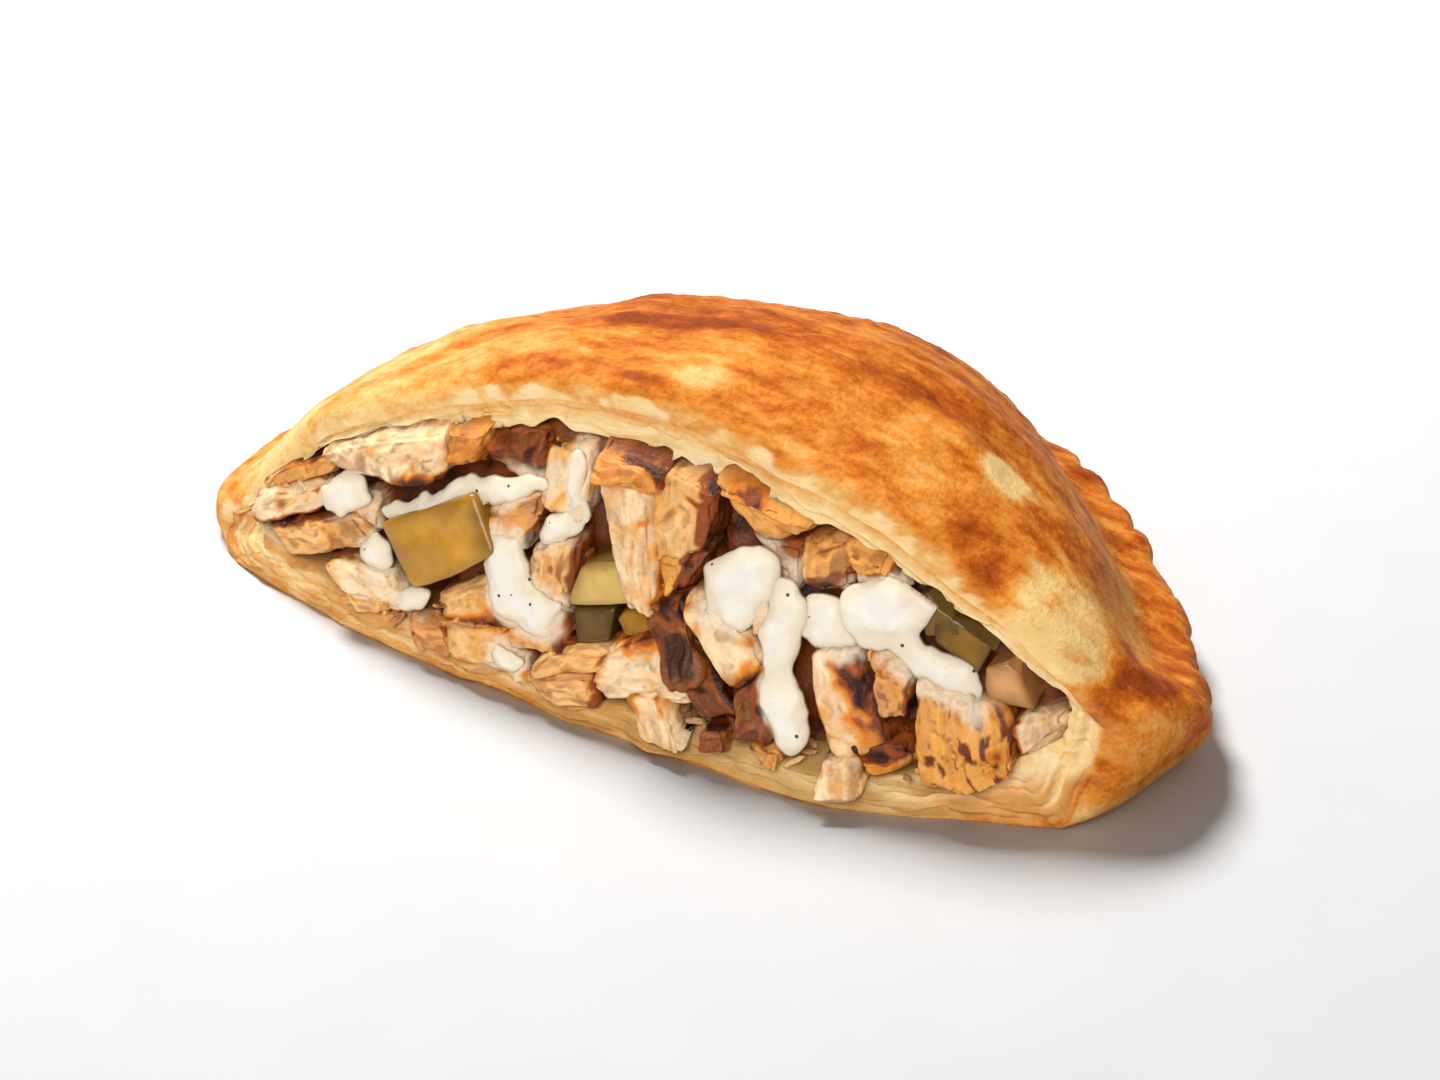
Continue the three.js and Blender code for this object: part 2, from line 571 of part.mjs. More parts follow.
// The heap of chicken: a heart that runs back through the cavity, with the opening's pieces fused to it.
const behind = new THREE.BoxGeometry(FARTHEST, FARTHEST, FARTHEST);
behind.translate(0, LIP_Y + HEART_BACK + FARTHEST / 2, 0);
let heap = plug(GAP + HEART_GAP).intersect(solidFrom(behind));
for (const c of CHICKEN) heap = heap.add(slab(c, c.front, CHUNK_DEPTH, CHUNK, 0));
heap = heap.intersect(room);
for (const other of taken) heap = heap.subtract(other);
heap = largest(heap);

const DOUGH = new THREE.MeshStandardMaterial({ color: 0xd99a4e, roughness: 0.7 });
const MEAT = new THREE.MeshStandardMaterial({ color: 0xd8a468, roughness: 0.6 });
const PICKLE = new THREE.MeshStandardMaterial({ color: 0xa8871e, roughness: 0.35 });
const CREAM = new THREE.MeshStandardMaterial({ color: 0xf1eee6, roughness: 0.35 });

const group = new THREE.Group();

function node(name, solid, material) {
  const { vertProperties, triVerts, numProp } = solid.getMesh();
  const points = [];
  for (let i = 0; i < vertProperties.length; i += numProp) {
    points.push(lean(new THREE.Vector3(vertProperties[i], vertProperties[i + 1], vertProperties[i + 2])));
  }
  const g = new THREE.BufferGeometry().setFromPoints(points);
  g.setIndex(Array.from(triVerts));
  g.computeVertexNormals();
  const mesh = new THREE.Mesh(g, material);
  mesh.name = name;
  group.add(mesh);
}

node('crust', crust(), DOUGH);
node('chicken_filling', heap, MEAT);
pickles.forEach((solid, i) => node(`pickle_${i + 1}`, solid, PICKLE));
sauces.forEach((solid, i) => node(`sauce_${i + 1}`, solid, CREAM));

// The origin goes under the middle of the whole pie.
const box = new THREE.Box3().setFromObject(group);
const middle = box.getCenter(new THREE.Vector3());
for (const mesh of group.children) mesh.geometry.translate(-middle.x, -middle.y, -box.min.z);

export default group;
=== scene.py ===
"""Chicken shawarma pie: a baked half-moon crust, its chicken, pickle and sauce, and a plain stage."""
import functools
import json
import math
from types import SimpleNamespace
from typing import NamedTuple

import bpy
import numpy as np
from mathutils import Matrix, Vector

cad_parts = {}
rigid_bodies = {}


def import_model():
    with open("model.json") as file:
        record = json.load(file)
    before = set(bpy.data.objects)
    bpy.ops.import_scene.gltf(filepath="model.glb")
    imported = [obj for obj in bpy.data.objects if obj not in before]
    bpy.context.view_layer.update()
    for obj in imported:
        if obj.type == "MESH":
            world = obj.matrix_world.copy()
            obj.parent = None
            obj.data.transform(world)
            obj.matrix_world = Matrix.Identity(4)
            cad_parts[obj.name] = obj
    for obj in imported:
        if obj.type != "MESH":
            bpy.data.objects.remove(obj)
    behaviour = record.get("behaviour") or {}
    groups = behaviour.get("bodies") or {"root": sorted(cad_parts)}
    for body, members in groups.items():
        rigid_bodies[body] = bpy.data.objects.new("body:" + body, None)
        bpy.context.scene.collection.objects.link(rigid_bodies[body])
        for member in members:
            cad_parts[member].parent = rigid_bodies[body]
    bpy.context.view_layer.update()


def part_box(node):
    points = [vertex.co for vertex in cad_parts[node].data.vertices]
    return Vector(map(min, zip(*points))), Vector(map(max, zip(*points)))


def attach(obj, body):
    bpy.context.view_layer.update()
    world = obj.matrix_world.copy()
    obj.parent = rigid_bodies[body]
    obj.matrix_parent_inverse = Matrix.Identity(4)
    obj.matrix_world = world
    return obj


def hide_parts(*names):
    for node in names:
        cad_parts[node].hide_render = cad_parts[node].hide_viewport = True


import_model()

bl_info = {
    "name": "Chicken shawarma pie",
    "version": (1, 0, 0),
    "blender": (4, 5, 0),
    "location": "View3D > Sidebar > Pie",
    "description": "Builds a half-moon bread pie that is cut open along its front to show its filling",
    "category": "Object",
}

# Lengths in the shape functions are millimetres, measured from the foot of the crown.
MM = 0.001
BODY = "root"

# Plan of the pie: its reach, how full each corner is, and where the fullness of its ends and back takes over.
REACH_RIGHT, REACH_LEFT, REACH_BACK, REACH_FRONT = 96.0, 107.5, 91.0, 28.5
FULL_FRONT, FULL_RIGHT, FULL_LEFT, FULL_BACK = 2.3, 1.51, 2.0, 2.0
ENDS_FROM, BACK_FROM, FARTHEST = 70.0, 25.0, 300.0
REACH_HALVINGS = 40
# The cut: its upper lip in front of the crown, its rounded ends, and how deep its lean reaches.
LIP_Y = -11.0
TRIM_RIGHT, TRIM_LEFT, TRIM_SPREAD = 0.07, 0.01, 0.3
LEAN_DEPTH = 52.0
# The lower lip bows most to the right of its middle, and falls back again towards the right end.
BOW = SimpleNamespace(middle=1.04, slope=0.0021, slope_from=-75.0, slope_to=24.0, fall=0.006, fall_from=40.0)

# Dome: crown, fall of its shoulders, front slope, and the valley where it meets the rope.
CROWN = 62.0
FALL_LEFT, FALL_RIGHT, FALL_Q = 1.64, 2.0, 0.67
FALL_TURNS = (-40.0, 40.0)
FRONT_SLOPE = 36.0
VALLEY = 12.0
SOFT_EDGE = 6
LIP_SAG = SimpleNamespace(start=-12.0, end=32.0, height=-4.2)
LIP_DIP = SimpleNamespace(at=58.0, spread=12.0, height=-1.2)
LIP_BUMP = SimpleNamespace(at=-72.0, spread=14.0, height=1.6)
LIP_FADE = 16.0
SWELL = SimpleNamespace(height=0.6, length_x=55.0, length_y=48.0, start_x=0.1, start_y=0.17)
SLANT = SimpleNamespace(height=0.5, length_x=88.0, length_y=-68.0, start=0.35)

# Rope of folded dough round the edge, which grows at the ends of the cut.
ROPE_W, ROPE_H, ROPE_MEETS, LOBE_MEETS = 12.0, 14.0, 132.0, 108.0
CRIMPS = 27
CRIMP_TWIST, CRIMP_FLAT, CRIMP_RISE = 1.1, 0.7, 0.6
CRIMP_END, CRIMP_FADE = 1.12, 0.6
CRIMP_UNEVEN = SimpleNamespace(
    middle=0.62, height=0.38, first=0.29, second=0.13, start_first=0.1, start_second=0.4
)
SMOOTH_LEFT = (1.9, 2.6)
RIGHT_SPREAD, LEFT_SPREAD = 0.24, 0.36
RIGHT_LOBE = SimpleNamespace(width=0.42, height=0.78, waist=0.17)
LEFT_LOBE = SimpleNamespace(width=0.1, height=-0.18, waist=-0.12)

# Dough round the cavity.
CEILING, FLOOR, RIM_Z, RIM_ROUND = 7.5, 5.5, 12.0, 9
WALL, WALL_RIGHT, WALL_LEFT = 16.5, 9.5, 8.5
RIM_RISE_RIGHT, RIM_RISE_LEFT = 8.0, -3.5

# Steps of the crust's mesh: round the rope, and along each of its stretches from the lip's middle.
EDGE_STEPS = 720
COLUMNS, CAVITY_COLUMNS = 360, 48
DOME_ROWS, ROPE_ROWS, UNDER_ROWS = 92, 28, 22
CUT_ROWS = 26


def rgb(red, green, blue):
    """A linear colour from the 8-bit values that a screen shows."""
    shares = [c / 255 for c in (red, green, blue)]
    return tuple(c / 12.92 if c <= 0.04045 else ((c + 0.055) / 1.055) ** 2.4 for c in shares)


# Small functions that the shapes share.
def mix(a, b, t):
    return a + (b - a) * t


def ease(t):
    c = np.clip(t, 0, 1)
    return c * c * (3 - 2 * c)


def near(distance, spread):
    return np.exp(-((distance / spread) ** 2))


def wave(turns):
    return np.sin(2 * math.pi * turns)


def lattice(cells, seed):
    """A fixed draw from -1 to 1 for each whole-number cell."""
    c = (cells + 8192).astype(np.uint64)
    n = c[:, 0] * np.uint64(73856093) ^ c[:, 1] * np.uint64(19349663)
    n ^= c[:, 2] * np.uint64(83492791) ^ np.uint64(seed * 2654435761)
    for shift, factor in ((15, 2246822519), (13, 3266489917)):
        n = ((n ^ (n >> np.uint64(shift))) * np.uint64(factor)) & np.uint64(0xFFFFFFFF)
    return ((n >> np.uint64(8)) & np.uint64(0xFFFF)).astype(float) / 32767.5 - 1


def noise(points, size, seed):
    """Smooth noise from -1 to 1 whose features have a size in mm, one for all axes or one for each."""
    shape = points.shape[:-1]
    q = (points / size).reshape(-1, 3)
    low = np.floor(q)
    t = q - low
    t = t * t * t * (t * (6 * t - 15) + 10)
    total = np.zeros(len(q))
    for corner in np.ndindex(2, 2, 2):
        weight = np.where(np.array(corner, bool), t, 1 - t).prod(axis=1)
        total += weight * lattice(low + corner, seed)
    return total.reshape(shape)


def fractal(points, size, seed):
    """Two layers of noise, the second half the size and half the height of the first."""
    size = np.asarray(size, float)
    return sum(noise(points, size / 2**k, seed + 17 * k) / 2**k for k in range(2))


# Shape of the pie, as in the part's solids.
def share(x, y, front):
    """Distance from the crown's foot as a share of the plan's edge."""
    a = np.where(x > 0, REACH_RIGHT, REACH_LEFT)
    b = np.where(y < 0, front, REACH_BACK)
    end = np.where(x > 0, FULL_RIGHT, FULL_LEFT)
    back = mix(FULL_BACK, end, ease(np.abs(x) / ENDS_FROM))
    n = np.where(y < 0, FULL_FRONT, mix(FULL_FRONT, back, ease(y / BACK_FROM)))
    return (np.abs(x / a) ** n + np.abs(y / b) ** n) ** (1 / n)


def find_reach(theta):
    """How far the edge lies from the lip's middle at an angle, 0 at the cut's right end, pi at its left."""
    low = np.zeros_like(theta)
    high = np.full_like(theta, FARTHEST)
    for _ in range(REACH_HALVINGS):
        middle = (low + high) / 2
        inside = share(middle * np.cos(theta), LIP_Y + middle * np.sin(theta), REACH_FRONT) < 1
        low = np.where(inside, middle, low)
        high = np.where(inside, high, middle)
    trim = TRIM_RIGHT * near(theta, TRIM_SPREAD) + TRIM_LEFT * near(math.pi - theta, TRIM_SPREAD)
    return low * (1 - trim)


THETAS = np.linspace(0, math.pi, EDGE_STEPS + 1)
REACHES = find_reach(THETAS)
EDGE_LINE = np.stack([REACHES * np.cos(THETAS), REACHES * np.sin(THETAS)], axis=1)
EDGE_LENGTHS = np.concatenate([[0], np.cumsum(np.linalg.norm(np.diff(EDGE_LINE, axis=0), axis=1))])


def even_angles(count):
    """Angles that are spaced evenly along the pie's edge."""
    return np.interp(np.linspace(0, EDGE_LENGTHS[-1], count), EDGE_LENGTHS, THETAS)


def crimp_phase(theta):
    return 2 * math.pi * CRIMPS * np.interp(theta, THETAS, EDGE_LENGTHS) / EDGE_LENGTHS[-1]


def edge(theta):
    """The rope at an angle, where the dome meets it, and the cavity's rim."""
    e = SimpleNamespace()
    e.right = near(theta, RIGHT_SPREAD)
    e.left = near(math.pi - theta, LEFT_SPREAD)
    e.out = np.interp(theta, THETAS, REACHES)
    e.w = ROPE_W * (1 + RIGHT_LOBE.width * e.right + LEFT_LOBE.width * e.left)
    e.h = ROPE_H * (1 + RIGHT_LOBE.height * e.right + LEFT_LOBE.height * e.left)
    e.start = np.radians(mix(ROPE_MEETS, LOBE_MEETS, e.right + e.left))
    e.waist = 0.5 + RIGHT_LOBE.waist * e.right + LEFT_LOBE.waist * e.left
    e.foot = e.out - e.w / 2 + e.w / 2 * np.cos(e.start)
    e.foot_z = e.h * (e.waist + (1 - e.waist) * np.sin(e.start))
    e.foot_share = share(e.foot * np.cos(theta), LIP_Y + e.foot * np.sin(theta), FRONT_SLOPE)
    e.rim = e.out - WALL + (WALL - WALL_RIGHT) * e.right + (WALL - WALL_LEFT) * e.left
    e.rim_z = RIM_Z + RIM_RISE_RIGHT * e.right + RIM_RISE_LEFT * e.left
    return e


def polar(theta, rho, z):
    parts = np.broadcast_arrays(rho * np.cos(theta), LIP_Y + rho * np.sin(theta), z)
    return np.stack(parts, axis=-1)


def lip_rise(x):
    sag = LIP_SAG.height * ease((x - LIP_SAG.start) / (LIP_SAG.end - LIP_SAG.start))
    dip = LIP_DIP.height * near(x - LIP_DIP.at, LIP_DIP.spread)
    return sag + dip + LIP_BUMP.height * near(x - LIP_BUMP.at, LIP_BUMP.spread)


def swell(x, y):
    cross = wave(x / SWELL.length_x + SWELL.start_x) * wave(y / SWELL.length_y + SWELL.start_y)
    return SWELL.height * cross + SLANT.height * wave(x / SLANT.length_x + y / SLANT.length_y + SLANT.start)


def dome_height(theta, e, u):
    """Height of the baked top at a share u of the way from the lip's middle to the rope."""
    x = u * e.foot * np.cos(theta)
    y = LIP_Y + u * e.foot * np.sin(theta)
    first = -LIP_Y / FRONT_SLOPE
    r = share(x, y, FRONT_SLOPE)
    s = np.clip(first + (r - first) * (1 - first) / (e.foot_share - first), 0, 1)
    valley = mix(VALLEY, e.foot_z, u * u)
    lip = lip_rise(x) * near(y - LIP_Y, LIP_FADE)
    fall = mix(FALL_LEFT, FALL_RIGHT, ease((x - FALL_TURNS[0]) / (FALL_TURNS[1] - FALL_TURNS[0])))
    return valley + (CROWN - valley) * (1 - s**fall) ** FALL_Q + (lip + swell(x, y)) * (1 - u**SOFT_EDGE)


def dome_points(theta, u):
    e = edge(theta)
    return polar(theta, u * e.foot, dome_height(theta, e, u))


def crimp_height(theta):
    """Height of the folds round the rope as a share: uneven, and none towards the ends of the cut."""
    count = crimp_phase(theta) / (2 * math.pi)
    u = CRIMP_UNEVEN
    first, second = wave(u.first * count + u.start_first), wave(u.second * count + u.start_second)
    uneven = u.middle + u.height * first * second
    left = ease((theta - SMOOTH_LEFT[0]) / (SMOOTH_LEFT[1] - SMOOTH_LEFT[0]))
    return uneven * (1 - near(theta, RIGHT_SPREAD)) * (1 - left)


def rope_points(theta, f, crimp):
    """The rope's skin from the dome at f 0 round to the underside at f 1, with twisted crimps."""
    e = edge(theta)
    phi = mix(e.start, -math.pi / 2, f)
    fold = np.abs(np.cos(crimp_phase(theta) / 2 + CRIMP_TWIST * phi)) ** CRIMP_FLAT
    fade = np.abs(np.sin(math.pi * np.minimum(1, f * CRIMP_END))) ** CRIMP_FADE
    c = fold * fade * crimp * crimp_height(theta)
    half = np.where(phi > 0, 1 - e.waist, e.waist)
    rho = e.out - e.w / 2 + (e.w / 2 + c) * np.cos(phi)
    z = e.h * (e.waist + half * np.sin(phi)) + CRIMP_RISE * c * np.maximum(0, np.sin(phi))
    return polar(theta, rho, np.where(f == 1, 0, z))


def under_points(theta, v):
    e = edge(theta)
    return polar(theta, (e.out - e.w / 2) * (1 - v), 0.0)


LIP_MIDDLE = dome_height(math.pi / 2, edge(np.array(math.pi / 2)), 0.0)


def cavity_heights(theta, e, u, gap=0.0):
    """Heights of the cavity's ceiling and floor at a share u of the way to its rim."""
    shut = u**RIM_ROUND
    rise = (LIP_MIDDLE - CEILING - e.rim_z) / (LIP_MIDDLE - e.foot_z)
    ceiling = e.rim_z + (dome_height(theta, e, u) - e.foot_z) * rise - gap * (1 - shut)
    return ceiling, mix(FLOOR + gap, e.rim_z, shut)


def cavity_points(theta, s, gap):
    """The cavity's skin from its ceiling at s 0, by its rim at s 0.5, to its floor at s 1."""
    e = edge(theta)
    u = 1 - np.abs(2 * s - 1)
    ceiling, floor = cavity_heights(theta, e, u, gap)
    return polar(theta, u * (e.rim - gap), np.where(s < 0.5, ceiling, floor))


# How far pieces in front of the lower lip hang down over it, from how far out, and over what way.
HANG, HANG_FROM, HANG_OVER = 2.6, 1.0, 1.5
# How far the pieces of pickle, and of sauce, stay away from the cavity's ceiling.
PICKLE_GAP, SAUCE_GAP = 1.2, 0.6


def held_in(points, margin):
    """Points of the filling, kept between the cavity's floor and ceiling."""
    x, y, z = points.T
    depth = np.maximum(y - LIP_Y, 0)
    theta = np.arctan2(depth, x)
    e = edge(theta)
    ceiling, floor = cavity_heights(theta, e, np.minimum(np.hypot(x, depth) / e.rim, 1))
    floor = floor - HANG * ease((LIP_Y - HANG_FROM - y) / HANG_OVER)
    high = np.maximum(ceiling - margin, floor)
    return np.stack([x, y, np.clip(z, np.minimum(floor + margin / 2, high), high)], axis=1)


LIP_STEPS = 81
LIP_LEFT = dome_points(math.pi, np.linspace(1, 0, LIP_STEPS))
LIP_LINE = np.concatenate([LIP_LEFT, dome_points(0.0, np.linspace(0, 1, LIP_STEPS))])


def lean(p):
    """The lower lip bows forward of the upper one, so the opening leans back."""
    x, y, z = p[..., 0], p[..., 1], p[..., 2]
    a = np.where(x > 0, REACH_RIGHT, REACH_LEFT)
    fall = BOW.fall * np.maximum(0, x - BOW.fall_from)
    skew = BOW.middle + BOW.slope * np.clip(x, BOW.slope_from, BOW.slope_to) - fall
    bow = skew * REACH_FRONT * (1 - np.minimum(1, np.abs(x / a)) ** FULL_FRONT) ** (1 / FULL_FRONT) + LIP_Y
    low = np.clip(1 - z / np.interp(x, LIP_LINE[:, 0], LIP_LINE[:, 2]), 0, 1)
    close = 1 - ease((y - LIP_Y) / LEAN_DEPTH)
    return np.stack([x, y - np.maximum(0, bow) * low * close, z], axis=-1)


# The crust's solid: the steps and the crimps of its rope, and how far to each side its lower lip is followed.
SOLID_ROPE_STEPS, SOLID_CRIMP, SOLID_LIP = 14, 1.6, 90


def find_shift():
    """From the crown's foot to the part's own origin, found by the crust's box."""
    columns = even_angles(COLUMNS + 1)
    rope = rope_points(columns, np.linspace(0, 1, SOLID_ROPE_STEPS + 1)[:, None], SOLID_CRIMP)
    under = under_points(columns, np.zeros((1, 1)))
    front = polar(np.array([0.0, math.pi]), np.linspace(0, SOLID_LIP, SOLID_LIP + 1)[:, None], 0.0)
    every = np.concatenate([lean(skin).reshape(-1, 3) for skin in (rope, under, front)])
    low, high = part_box("crust")
    middle = np.array((low + high) / 2) / MM
    found = middle - (every.min(axis=0) + every.max(axis=0)) / 2
    return np.array([found[0], found[1], low.z / MM])


SHIFT = find_shift()


def to_part(points):
    """Leans points back with the opening and gives them in metres in the part's frame."""
    return (lean(points) + SHIFT) * MM


# Mesh helpers.
def cell_quads(ids):
    """The quads between the points of a grid, by their numbers."""
    return np.stack([ids[:-1, :-1], ids[1:, :-1], ids[1:, 1:], ids[:-1, 1:]], axis=-1)


class Sheet:
    """A mesh under construction: points in mm, and faces of three or four corners."""

    def __init__(self):
        self.points = []
        self.faces = []
        self.count = 0

    def add(self, points):
        shape = points.shape[:-1]
        ids = np.arange(self.count, self.count + int(np.prod(shape))).reshape(shape)
        self.points.append(points.reshape(-1, 3))
        self.count += ids.size
        return ids

    def strip(self, first, second):
        """Joins two rows of one length, or of which one has twice the steps of the other."""
        if len(first) == len(second):
            quads = np.stack([first[:-1], second[:-1], second[1:], first[1:]], axis=1)
            self.faces += quads.tolist()
        elif len(first) < len(second):
            a, b = first[:-1], first[1:]
            left, middle, right = second[:-2:2], second[1:-1:2], second[2::2]
            for corners in ((a, left, middle), (a, middle, b), (b, middle, right)):
                self.faces += np.stack(corners, axis=1).tolist()
        else:
            a, b = second[:-1], second[1:]
            left, middle, right = first[:-2:2], first[1:-1:2], first[2::2]
            for corners in ((left, a, middle), (middle, a, b), (middle, b, right)):
                self.faces += np.stack(corners, axis=1).tolist()

    def grid(self, rows):
        for first, second in zip(rows[:-1], rows[1:]):
            self.strip(first, second)

    def fan(self, point, row):
        self.faces += [[point, a, b] for a, b in zip(row[:-1].tolist(), row[1:].tolist())]

    def all_points(self):
        return np.concatenate(self.points)


def mesh_object(name, points, faces, material, floats=None, colours=None):
    """A smooth-shaded mesh object from points in metres, with named attributes on its points."""
    mesh = bpy.data.meshes.new(name)
    mesh.from_pydata(points.tolist(), [], faces if isinstance(faces, list) else faces.tolist())
    for key, values in (floats or {}).items():
        data = mesh.attributes.new(key, "FLOAT", "POINT").data
        data.foreach_set("value", values.astype(np.float32).ravel())
    for key, values in (colours or {}).items():
        rgba = np.concatenate([values, np.ones((len(values), 1))], axis=1)
        data = mesh.attributes.new(key, "FLOAT_COLOR", "POINT").data
        data.foreach_set("color", rgba.astype(np.float32).ravel())
    mesh.polygons.foreach_set("use_smooth", np.ones(len(mesh.polygons), bool))
    mesh.materials.append(material)
    mesh.update()
    made = bpy.data.objects.new(name, mesh)
    bpy.context.scene.collection.objects.link(made)
    return made


def settle(piece, slot, *nodes):
    """The piece rides on the pie and stands for its solids; the slot is not used."""
    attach(piece, BODY)
    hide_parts(*nodes)


def normals_of(points, quads):
    face = np.cross(points[quads[:, 2]] - points[quads[:, 0]], points[quads[:, 3]] - points[quads[:, 1]])
    total = np.zeros_like(points)
    for k in range(4):
        np.add.at(total, quads[:, k], face)
    return total / np.maximum(np.linalg.norm(total, axis=1, keepdims=True), 1e-9)


def ball(n, front_bias):
    """A unit ball of n by n quads on each of six sides, closer together towards the front."""
    t = np.tan(np.linspace(-1, 1, n + 1) * math.pi / 4)
    a, b = np.meshgrid(t, t, indexing="ij")
    one = np.ones_like(a)
    sides = [(one, a, b), (-one, b, a), (b, one, a), (a, -one, b), (a, b, one), (b, a, -one)]
    points = np.concatenate([np.stack(s, axis=-1).reshape(-1, 3) for s in sides])
    ids = np.arange((n + 1) ** 2).reshape(n + 1, n + 1)
    quad = cell_quads(ids).reshape(-1, 4)
    quads = np.concatenate([quad + k * (n + 1) ** 2 for k in range(6)])
    points, where = np.unique(np.round(points, 6), axis=0, return_inverse=True)
    points = points / np.linalg.norm(points, axis=1, keepdims=True) + np.array([0, -front_bias, 0])
    return points / np.linalg.norm(points, axis=1, keepdims=True), where.reshape(-1)[quads]


# Material helpers.
class Nodes:
    """A material's node tree with short calls for adding and joining nodes."""

    def __init__(self, name):
        self.material = bpy.data.materials.new(name)
        self.material.use_nodes = True
        self.tree = self.material.node_tree
        self.shader = self.tree.nodes["Principled BSDF"]
        self.coordinates = self.tree.nodes.new("ShaderNodeTexCoord").outputs["Object"]

    def add(self, kind, **settings):
        made = self.tree.nodes.new(kind)
        for key, value in settings.items():
            setattr(made, key, value)
        return made

    def join(self, output, socket):
        self.tree.links.new(output, socket)

    def feed(self, socket, value):
        """Sets a socket to a number or a colour, or joins an output to it."""
        if isinstance(value, (int, float)):
            socket.default_value = value
        elif isinstance(value, tuple):
            socket.default_value = (*value, 1)
        else:
            self.join(value, socket)

    def shade_flesh(self, shade):
        """Gives the surface the colours of its points, made darker or paler."""
        tinted = self.blend(1.0, self.attribute("flesh", "Color"), shade, "MULTIPLY")
        self.join(tinted, self.shader.inputs["Base Color"])

    def set(self, **values):
        for key, value in values.items():
            self.shader.inputs[key.replace("_", " ")].default_value = value

    def attribute(self, name, output="Fac"):
        return self.add("ShaderNodeAttribute", attribute_name=name).outputs[output]

    def noise(self, scale, detail, roughness, stretch=(1, 1, 1)):
        made = self.add("ShaderNodeTexNoise")
        made.inputs["Scale"].default_value = scale
        made.inputs["Detail"].default_value = detail
        made.inputs["Roughness"].default_value = roughness
        mapping = self.add("ShaderNodeMapping")
        mapping.inputs["Scale"].default_value = stretch
        self.join(self.coordinates, mapping.inputs["Vector"])
        self.join(mapping.outputs["Vector"], made.inputs["Vector"])
        return made.outputs["Fac"]

    def math(self, operation, a, b, clamp=False):
        made = self.add("ShaderNodeMath", operation=operation, use_clamp=clamp)
        for socket, value in zip(made.inputs, (a, b)):
            self.feed(socket, value)
        return made.outputs["Value"]

    def ramp(self, factor, stops):
        made = self.add("ShaderNodeValToRGB")
        elements = made.color_ramp.elements
        while len(elements) < len(stops):
            elements.new(0.5)
        for element, (place, colour) in zip(elements, stops):
            element.position = place
            element.color = (*colour, 1)
        self.join(factor, made.inputs["Fac"])
        return made.outputs["Color"]

    def blend(self, factor, a, b, blend_type="MIX"):
        made = self.add("ShaderNodeMix", data_type="RGBA", blend_type=blend_type)
        for socket, value in ((made.inputs[0], factor), (made.inputs[6], a), (made.inputs[7], b)):
            self.feed(socket, value)
        return made.outputs[2]

    def bump(self, height, distance, strength):
        made = self.add("ShaderNodeBump")
        made.inputs["Distance"].default_value = distance
        made.inputs["Strength"].default_value = strength
        self.join(height, made.inputs["Height"])
        self.join(made.outputs["Normal"], self.shader.inputs["Normal"])


def length(name, description, default):
    """A property for a length in metres."""
    return bpy.props.FloatProperty(
        name=name, description=description, default=default, subtype="DISTANCE", unit="LENGTH"
    )


def colour(name, description, *screen):
    """A property for a colour, given as the 8-bit values that a screen shows."""
    return bpy.props.FloatVectorProperty(
        name=name, description=description, default=rgb(*screen), subtype="COLOR", size=3, min=0, max=1
    )


class PieCrustLook(bpy.types.PropertyGroup):
    """Relief and colours of the baked dough."""

    crimp: length("Crimp depth", "How far the folds of the rope stand out", 0.0018)
    swell: length("Swell", "Height of the soft bumps in the baked skin", 0.0008)
    wrinkle: length("Wrinkle", "Height of the fine wrinkles in the baked skin", 0.00025)
    lip: length("Lip round", "Roundness of the baked skin where it turns into the cut", 0.003)
    roll: length("Crumb roll", "Roundness of the crumb where it turns into the cavity", 0.002)
    tear: length("Tear", "Unevenness of the crumb at the cut", 0.001)
    pale: colour("Pale dough", "Skin that took no colour", 238, 198, 130)
    golden: colour("Golden dough", "Lightly baked skin", 228, 168, 92)
    amber: colour("Amber dough", "Well baked skin", 217, 133, 45)
    brown: colour("Brown dough", "Darkly baked skin", 184, 90, 20)
    dark: colour("Dark dough", "The darkest spots of the skin", 140, 60, 16)
    crumb: colour("Crumb", "Inside of the dough at the cut", 248, 220, 168)
    layer: colour("Crumb layers", "Denser layers of the crumb", 240, 200, 130)
    # Darker crumb of the lower lip: partly toasted, partly painted shade under the filling.
    toast: colour("Toasted crumb", "Crumb of the lower lip, under the filling", 188, 146, 86)


class PieFillingLook(bpy.types.PropertyGroup):
    """Relief and colours of the filling."""

    fibre: length("Fibre depth", "Depth of the grain of the chicken", 0.0003)
    lump: length("Lump height", "Unevenness of a piece of chicken", 0.0006)
    shred: length("Shred length", "Length of the shreds of chicken between the pieces", 0.006)
    cream: colour("Cream flesh", "Palest chicken", 252, 226, 184)
    pale: colour("Pale flesh", "Pale chicken", 248, 206, 142)
    pink: colour("Pinkish flesh", "Darker leg meat", 226, 160, 100)
    golden: colour("Golden flesh", "Spiced chicken", 236, 168, 76)
    orange: colour("Orange flesh", "Chicken with most spice", 224, 132, 36)
    brown: colour("Brown flesh", "Seared chicken", 148, 72, 24)
    char: colour("Charred flesh", "Charred chicken", 56, 22, 9)
    sauce: colour("Sauce", "Garlic sauce", 245, 236, 223)
    fleck: colour("Flecks", "Spice in the sauce", 92, 62, 36)


# Crust.
class Patch(NamedTuple):
    """A spot of the skin: its place from the crown's foot, half sizes, turn, and how much darker it is."""

    at: tuple
    half: tuple
    turn: float
    bake: float


